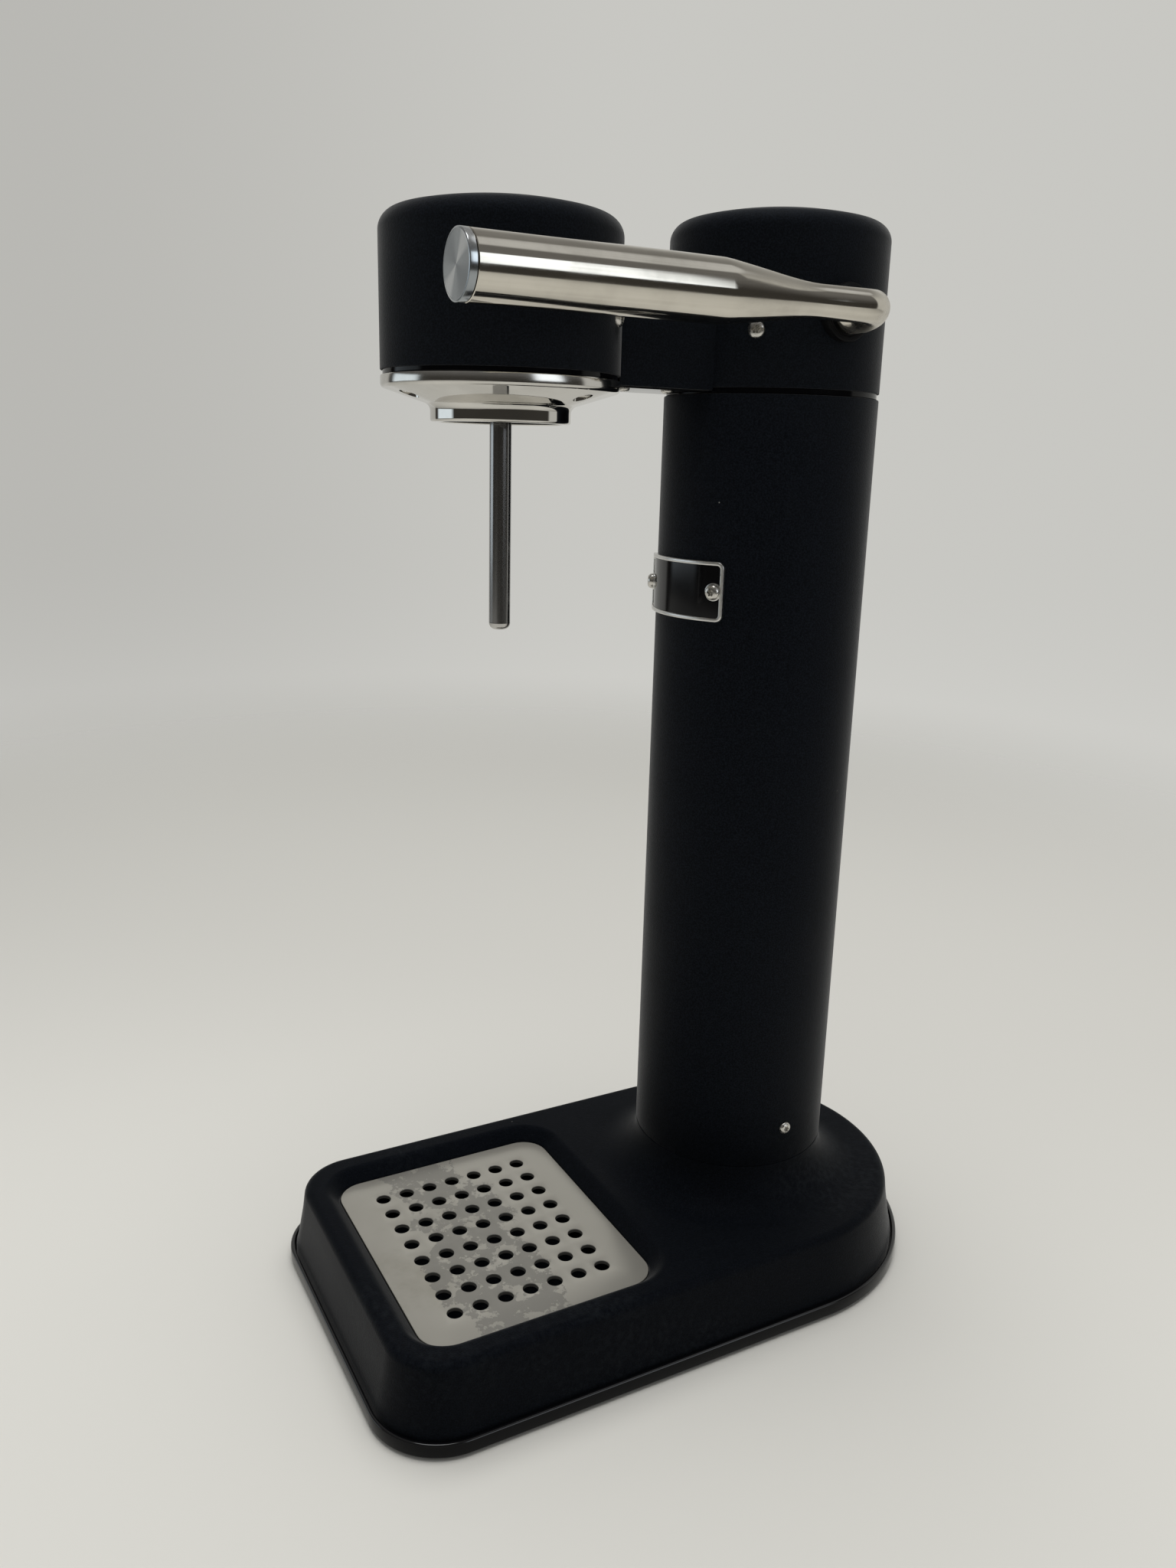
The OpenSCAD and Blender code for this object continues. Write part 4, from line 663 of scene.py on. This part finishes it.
def screws(name, node, places):
    """Copies the button screw to (position in mm, direction it faces, head radius, head height) places."""
    made = []
    for at, face, radius, height in places:
        bpy.ops.object.select_all(action="DESELECT")
        button.select_set(True)
        bpy.context.view_layer.objects.active = button
        bpy.ops.object.duplicate()
        copy = bpy.context.object
        stand = Vector(face).to_track_quat("Z", "Y").to_matrix().to_4x4()
        copy.matrix_world = Matrix.Translation(Vector(at) * MM) @ stand @ Matrix.Diagonal(
            (radius * MM, radius * MM, height / BUTTON_RISE * MM, 1)
        )
        bpy.ops.object.transform_apply(location=True, rotation=True, scale=True)
        made.append(copy)
    whole = joined(*made)
    whole.name = whole.data.name = name
    dress(whole, screw_steel, "screw_steel", "machine", node)


def ring_places(axis_y, z, radius, turns, head, height):
    """Places on a round wall, facing out from its axis."""
    faces = [Vector((math.cos(math.radians(a)), math.sin(math.radians(a)), 0)) for a in turns]
    return [((f.x * radius, axis_y + f.y * radius, z), f, head, height) for f in faces]


DOWN, WALL_R, HEAD_SCREW_Z = (0, 0, -1), COLUMN_R - 0.05, 373.5
rear_spots = ring_places(COLUMN_Y, HEAD_SCREW_Z, WALL_R, (-45, -135), 3, 1.8)
front_spots = ring_places(NOZZLE_Y, HEAD_SCREW_Z, WALL_R, (45, 135), 3, 1.8)
screws("head_buttons", "head_screws", rear_spots + front_spots)
screws("column_buttons", "column_screws", ring_places(COLUMN_Y, 66, WALL_R, (0, 180), 2.6, 1.5))
screws("badge_buttons", "badge_screws", ring_places(COLUMN_Y, BADGE_Z, COLUMN_R + 1.45, (-120.4, -59.6), 2.9, 2.1))
screws("collar_buttons", "collar_screws", [((x, y, 351.45), DOWN, 3, 2.7) for x, y in sink_spots])
bridge_rows = ((-10, 354.1), (10, 353.05))
screws("bridge_buttons", "bridge_screws", [((x, y, z), DOWN, 2.2, 1.1) for x, z in bridge_rows for y in (-17.1, 0.5)])
screws("pan_buttons", "pan_screws", [((x, y, 2), DOWN, 3, 1.1) for x, y in PAN_SCREWS])
bpy.data.objects.remove(button)


# Lever: stainless tube. The grip is swaged down to a rod, bent through a right angle, and swelled again
# where its leg enters the bush. It is satin polished, with faint lines along its length and hand marks.
LEVER_X, PIVOT_Z, BEND_R, BEND_Y, TUBE_END = 59, 380, 11, 43, -96.3
GRIP_R, LIP_R, TUBE_BORE, ROD_R, SHAFT_R = 9.8, 9.4, 8.6, 5.5, 4.5
SWAGE_Y, SWAGE_L, SWAGE_STEPS, BEND_STEPS = -11.5, 37, 24, 24
satin = Finish("satin_lever_steel", metallic=1.0)
lines = satin.noise(2200, 3, stretch=(1, 0.006, 1))
marks = satin.step(satin.noise(34, 5, rough=0.65), 0.45, 0.72)
streaks = satin.step(satin.noise(420, 4, stretch=(1, 0.02, 1), rough=0.6), 0.42, 0.66)
duller = satin.step(satin.axis("Y"), 0.046, 0.053)
satin.give(
    Base_Color=satin.blend(0.6 * marks + 0.4 * streaks, (0.67, 0.635, 0.565), (0.53, 0.50, 0.44)),
    Roughness=0.05 + 0.07 * marks + 0.06 * streaks + 0.26 * duller,
)
satin.bump(lines, 0.10, 0.00004)
lever = start(
    bpy.ops.mesh.primitive_circle_add, "lever", vertices=72, radius=LIP_R * MM,
    location=(LEVER_X * MM, TUBE_END * MM, PIVOT_Z * MM), rotation=(math.pi / 2, 0, 0),
)
bpy.ops.object.mode_set(mode="OBJECT")
bpy.ops.object.transform_apply(location=True, rotation=True, scale=True)
bpy.ops.object.mode_set(mode="EDIT")
bpy.ops.mesh.select_all(action="SELECT")


def draw_on(step, scale, centre):
    """Draws the tube on by one step and scales its end."""
    bpy.ops.mesh.extrude_region_move(TRANSFORM_OT_translate={"value": Vector(step) * MM})
    bpy.ops.transform.resize(value=(scale, scale, scale), center_override=Vector(centre) * MM)


swage = [(TUBE_END + 0.08, 9.62), (TUBE_END + 0.3, GRIP_R), (-60, GRIP_R), (-30, GRIP_R)]
swage += [(-13.5, GRIP_R), (-12.3, 9.78)]
for t in [i / SWAGE_STEPS for i in range(1, SWAGE_STEPS + 1)]:
    swage.append((SWAGE_Y + SWAGE_L * t, ROD_R + (GRIP_R - ROD_R) * (1 - t) * (1 - 0.8 * t ** 3)))
swage += [(33, ROD_R), (BEND_Y, ROD_R)]
y0, r0 = TUBE_END, LIP_R
for y1, r1 in swage:
    draw_on((0, y1 - y0, 0), r1 / r0, (LEVER_X, y1, PIVOT_Z))
    y0, r0 = y1, r1
bend_turn = math.radians(90) / BEND_STEPS
for step in range(1, BEND_STEPS + 1):
    around, r1 = bend_turn * step, ROD_R + 1.5 * (step / BEND_STEPS) ** 2
    bpy.ops.mesh.extrude_region_move(TRANSFORM_OT_translate={"value": (0, 0, 0)})
    bpy.ops.transform.rotate(
        value=-bend_turn, orient_axis="Z", center_override=Vector((LEVER_X - BEND_R, BEND_Y, PIVOT_Z)) * MM
    )
    middle = (LEVER_X - BEND_R + BEND_R * math.cos(around), BEND_Y + BEND_R * math.sin(around), PIVOT_Z)
    bpy.ops.transform.resize(value=(r1 / r0,) * 3, center_override=Vector(middle) * MM)
    r0 = r1
x0, y0 = LEVER_X - BEND_R, BEND_Y + BEND_R
leg = [(47, 53.4, 7.05), (46, 52.9, 7.15), (45, 52.6, 7.2), (44, COLUMN_Y, 7.2), (43.5, COLUMN_Y, 7.2)]
leg += [(43.2, COLUMN_Y, 7.1), (43.1, COLUMN_Y, 6.9)]
shaft = [(43.1, COLUMN_Y, SHAFT_R), (-30, COLUMN_Y, SHAFT_R), (-37.7, COLUMN_Y, SHAFT_R - 0.1)]
for x1, y1, r1 in leg + shaft:
    draw_on((x1 - x0, y1 - y0, 0), r1 / r0, (x1, y1, PIVOT_Z))
    x0, y0, r0 = x1, y1, r1
pick("EDGE", lambda p, e: e.is_boundary and p.x < 0)
bpy.ops.mesh.fill(use_beauty=True)
pick("EDGE", lambda p, e: e.is_boundary)
bpy.ops.mesh.extrude_region_move(TRANSFORM_OT_translate={"value": (0, 0, 0)})
mouth_in = TUBE_BORE / LIP_R
bpy.ops.transform.resize(value=(mouth_in, 1, mouth_in), center_override=Vector((LEVER_X, TUBE_END, PIVOT_Z)) * MM)
bpy.ops.mesh.extrude_region_move(TRANSFORM_OT_translate={"value": (0, 60 * MM, 0)})
bpy.ops.mesh.fill(use_beauty=True)
done(lever)
dress(lever, satin, "satin_steel", "lever", "lever_tube")


# End cap of the lever: turned stainless, pressed into the grip. A fine groove parts it from the tube, and its
# flat face keeps the fine rings of the lathe tool. The two fans into which the rings spread the light are also
# painted into its colour, as a painted highlight.
face_steel = Finish("faced_steel", metallic=1.0)
off_x, off_z = face_steel.axis("X") - LEVER_X * MM, face_steel.axis("Z") - PIVOT_Z * MM
reach = (off_x * off_x + off_z * off_z).top(1e-9)
# The face's colour carries a painted highlight: two bright wedges, and darker wedges between them, set by the angle
# round the cap's middle.
painted_fan = face_steel.node("Math", {"operation": "DIVIDE"}, {0: 2 * off_x * off_z, 1: reach})
painted_wedges = face_steel.blend(face_steel.step(painted_fan, -1.1, 0.3), (0.33, 0.355, 0.375), (0.47, 0.50, 0.52))
face_steel.give(
    Base_Color=face_steel.blend(face_steel.step(painted_fan, 0.55, 1.0), painted_wedges, (0.78, 0.80, 0.81)),
    Roughness=0.16 + 0.06 * face_steel.noise(300, 2),
)
RING_STEP, RING_DEEP, RINGS, CAP_FACE = 0.11, 0.022, 82, -99
rings = [(0, 0)] + [(RING_STEP * i, RING_DEEP * (i % 2)) for i in range(1, RINGS + 1)]
cap = turned(
    "lever_cap",
    rings + [(9.3, 0), (9.55, 0.05), (9.73, 0.17), (GRIP_R, 0.4), (GRIP_R, 2.3), (9.7, 2.45), (8.5, 2.45), (8.5, 15),
             (0, 15)],
    (LEVER_X, CAP_FACE, PIVOT_Z), along=(0, 1, 0), steps=96,
)
dress(cap, face_steel, "satin_steel", "lever", "lever_end_cap")


# Bush: black moulded plastic with a flange, pushed into the side of the rear head for the lever's shaft.
moulded = Finish("black_bush_plastic", (0.0035, 0.0036, 0.0042), specular_ior_level=0.12)
moulded.give(Roughness=0.32 + 0.15 * moulded.noise(500, 2))
bush = turned(
    "shaft_bush",
    [(4.55, 33.4), (8, 33.4), (8, 38.6), (9.7, 38.6), (9.7, 42.2), (9.55, 42.6), (9.1, 42.8), (8.2, 42.8),
     (7.8, 42.5), (4.55, 42.5), (4.55, 33.4)],
    (0, COLUMN_Y, PIVOT_Z), along=(1, 0, 0), out=(0, 0, 1), steps=72,
)
dress(bush, moulded, "bush_plastic", "machine", "lever_bush")


# Return spring: round wire wound round the plunger. It shortens as the plunger goes down.
wire = Finish("spring_wire", (0.42, 0.42, 0.41), metallic=1.0)
wire.give(Roughness=0.25 + 0.15 * wire.noise(800, 2))
spring = start(
    bpy.ops.mesh.primitive_circle_add, "spring_coil", vertices=12, radius=0.5 * MM,
    location=(6.2 * MM, 0, 0), rotation=(math.pi / 2, 0, 0),
)
bpy.ops.object.mode_set(mode="OBJECT")
bpy.ops.object.transform_apply(location=True, rotation=True, scale=True)
wind = spring.modifiers.new("wind", "SCREW")
SPRING_TURNS, WIND_STEPS = 5, 160
wind.axis, wind.angle = "Z", 2 * math.pi * SPRING_TURNS
wind.steps = wind.render_steps = WIND_STEPS
wind.screw_offset, wind.use_merge_vertices = 10.05 * MM, False
bpy.ops.object.modifier_apply(modifier=wind.name)
bpy.ops.object.mode_set(mode="EDIT")
pick("EDGE", lambda p, e: e.is_boundary)
bpy.ops.mesh.edge_face_add()
bpy.ops.mesh.select_all(action="SELECT")
bpy.ops.transform.translate(value=(0, COLUMN_Y * MM, 359.05 * MM))
done(spring, 60)
dress(spring, wire, "spring_steel", "machine", "return_spring")
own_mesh(spring)


# Pieces inside the heads and under the base keep their solids: brass valve and nozzle blocks, turned steel,
# plastic bushes and tube, and the rubber feet.
brass = Finish("machined_brass", metallic=1.0)
brass.give(
    Base_Color=brass.blend(brass.noise(45, 4), (0.60, 0.44, 0.17), (0.50, 0.355, 0.13)),
    Roughness=0.22 + 0.16 * brass.noise(260, 3),
)
turned_steel = Finish("turned_steel", metallic=1.0)
turned_steel.give(
    Base_Color=turned_steel.blend(turned_steel.noise(60, 3), (0.50, 0.50, 0.49), (0.42, 0.42, 0.415)),
    Roughness=0.25 + 0.15 * turned_steel.noise(400, 2),
)
tube_plastic = Finish("natural_tube", (0.66, 0.66, 0.62), specular_ior_level=0.4)
tube_plastic.give(Roughness=0.35 + 0.2 * tube_plastic.noise(200, 2))
for finish, kept in (
    (brass, ("nozzle_block", "relief_valve", "tube_fittings", "valve_block")),
    (turned_steel, ("plunger", "lever_cam", "cam_screw", "retaining_ring")),
    (screw_steel, ("block_screws", "valve_screws")),
    (tube_plastic, ("gas_tube",)),
    (moulded, ("inner_bush", "cylinder_guide")),
    (rubber, ("foot_pads", "cylinder_seal")),
    (coat, ("column_socket",)),
):
    for node in kept:
        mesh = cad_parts[node].data
        mesh.materials.clear()
        mesh.materials.append(finish.material)


# The studio: a pale floor that fades into a pale room, a soft lamp over it, lights in the ceiling, and two
# windows beside the viewpoint. The rest of the room behind the viewpoint is dim, which the steel shows as
# dark bands.
FLOOR_AT, FLOOR_R = (-0.35, 0.1, 0), 2.4
FROM_VIEW, TO_VIEW, LEFT_OF_VIEW = (-0.67, 0.74, 0), (0.67, -0.74, 0), (-0.479, -0.878, 0)
floor = start(
    bpy.ops.mesh.primitive_circle_add, "floor", vertices=128, radius=FLOOR_R, fill_type="NGON", location=FLOOR_AT
)
bpy.ops.object.mode_set(mode="OBJECT")
paper = Finish("pale_floor", roughness=0.9, specular_ior_level=0.1)
away = paper.node("VectorMath", {"operation": "LENGTH"}, {0: paper.place}, out="Value")
to_right = paper.axis("X")
beyond = paper.node("VectorMath", {"operation": "DOT_PRODUCT"}, {0: paper.place, 1: FROM_VIEW}, out="Value")
# The floor's colour is painted lighter on the lever's side and near the viewpoint, and darker to the left and far
# off: painted light.
lever_side = paper.step(to_right, -0.45, 0.55)
close_by = paper.blend(lever_side, (0.492, 0.489, 0.468), (0.675, 0.670, 0.642))
farther = paper.blend(lever_side, (0.488, 0.485, 0.464), (0.570, 0.565, 0.542))
paper.give(Base_Color=paper.blend(paper.step(beyond, -0.42, 0.0), close_by, farther))
clear = paper.node("BsdfTransparent")
far_end = paper.step(away, 0.40, 1.1) * (1 - paper.step(to_right, 0.2, 0.5)) * paper.step(beyond, -0.05, 0.3)
gone = far_end.top(paper.step(to_right, 1.2, 1.55))
cover = paper.node("MixShader", None, {0: gone, 1: Value(paper, paper.shader.outputs[0]), 2: clear})
paper.feed(paper.tree.nodes["Material Output"].inputs["Surface"], cover)
floor.data.materials.append(paper.material)

world = bpy.data.worlds.new("pale_room")
bpy.context.scene.world = world
world.use_nodes = True
nodes, links = world.node_tree.nodes, world.node_tree.links


def sky(kind, settings=None, inputs=None, out=0):
    """Adds one node to the room's shader and gives back an output of it."""
    made = nodes.new("ShaderNode" + kind)
    for key, value in (settings or {}).items():
        setattr(made, key, value)
    for key, value in (inputs or {}).items():
        if isinstance(value, bpy.types.NodeSocket):
            links.new(value, made.inputs[key])
        else:
            made.inputs[key].default_value = value
    return made.outputs[out]


def rise(value, low, high):
    """0 up to the low value, 1 from the high one on, and a soft step between them."""
    limits = {"Value": value, "From Min": low, "From Max": high}
    return sky("MapRange", {"interpolation_type": "SMOOTHSTEP"}, limits, "Result")


def times(a, b):
    return sky("Math", {"operation": "MULTIPLY"}, {0: a, 1: b})


def less(value):
    return sky("Math", {"operation": "SUBTRACT"}, {0: 1.0, 1: value})


def part(share, first, second):
    """Mixes two colours by a share of the second."""
    first, second = ((*c, 1) if isinstance(c, tuple) else c for c in (first, second))
    return sky("Mix", {"data_type": "RGBA"}, {0: share, 6: first, 7: second}, 2)


def lined_up(ray, direction):
    """How closely a ray points in a direction: 1 straight at it, -1 straight away."""
    return sky("VectorMath", {"operation": "DOT_PRODUCT"}, {0: ray, 1: direction}, "Value")


def window(direction, side, foot, head):
    """Share of a window: how close a direction is to its middle, and the heights of its foot and head."""
    tall = times(rise(height, foot, foot + 0.03), less(rise(height, head, head + 0.05)))
    return times(rise(lined_up(level, direction), side, side + 0.045), tall)


toward = sky("TexCoord", out="Generated")
height = sky("SeparateXYZ", None, {0: toward}, "Z")
flat = sky("VectorMath", {"operation": "MULTIPLY"}, {0: toward, 1: (1, 1, 0)}, "Vector")
level = sky("VectorMath", {"operation": "NORMALIZE"}, {0: flat}, "Vector")
near = rise(lined_up(level, TO_VIEW), -0.36, -0.26)
leftward = rise(lined_up(level, LEFT_OF_VIEW), -0.05, 0.42)
upper = part(leftward, (0.578, 0.574, 0.545), (0.485, 0.480, 0.455))
skirting = part(leftward, (0.655, 0.650, 0.620), (0.605, 0.600, 0.572))
backdrop = part(rise(height, -0.34, -0.06), skirting, upper)
room = part(rise(height, 0.40, 0.85), backdrop, (0.24, 0.235, 0.225))
dim = part(rise(height, 0.05, 0.6), (0.045, 0.042, 0.037), (0.17, 0.166, 0.16))
picture = part(near, room, dim)
ceiling = rise(lined_up(toward, (0.20, 0.49, 0.85)), 0.955, 0.985)
ceiling_light = rise(lined_up(toward, (0.05, -0.12, 0.9915)), 0.965, 0.980)
right_window = window((0.927, 0.375, 0), side=0.948, foot=0.055, head=0.50)
left_window = window((-0.60, -0.80, 0), side=0.925, foot=-0.10, head=0.22)
for share, colour in (
    (ceiling, (0.62, 0.625, 0.62)),
    (ceiling_light, (3.4, 3.45, 3.5)),
    (right_window, (1.75, 1.86, 1.98)),
    (left_window, (0.95, 1.06, 1.14)),
):
    picture = part(share, picture, colour)
rays = nodes.new("ShaderNodeLightPath").outputs
seen = sky("Math", {"operation": "ADD"}, {0: rays["Is Camera Ray"], 1: rays["Is Glossy Ray"]})
seen = sky("Math", {"operation": "ADD", "use_clamp": True}, {0: seen, 1: rays["Is Transmission Ray"]})
shown = part(seen, (0.42, 0.42, 0.41), picture)
links.new(shown, nodes["Background"].inputs["Color"])

lamp = bpy.data.objects.new("soft_lamp", bpy.data.lights.new("soft_lamp", "AREA"))
lamp.data.shape, lamp.data.size, lamp.data.energy = "DISK", 1.8, 30
lamp.data.color = (1.0, 0.985, 0.955)
lamp.location = (-0.25, 0.1, 1.8)
lamp.visible_glossy = False
bpy.context.scene.collection.objects.link(lamp)

bpy.context.scene.view_settings.view_transform = "Standard"
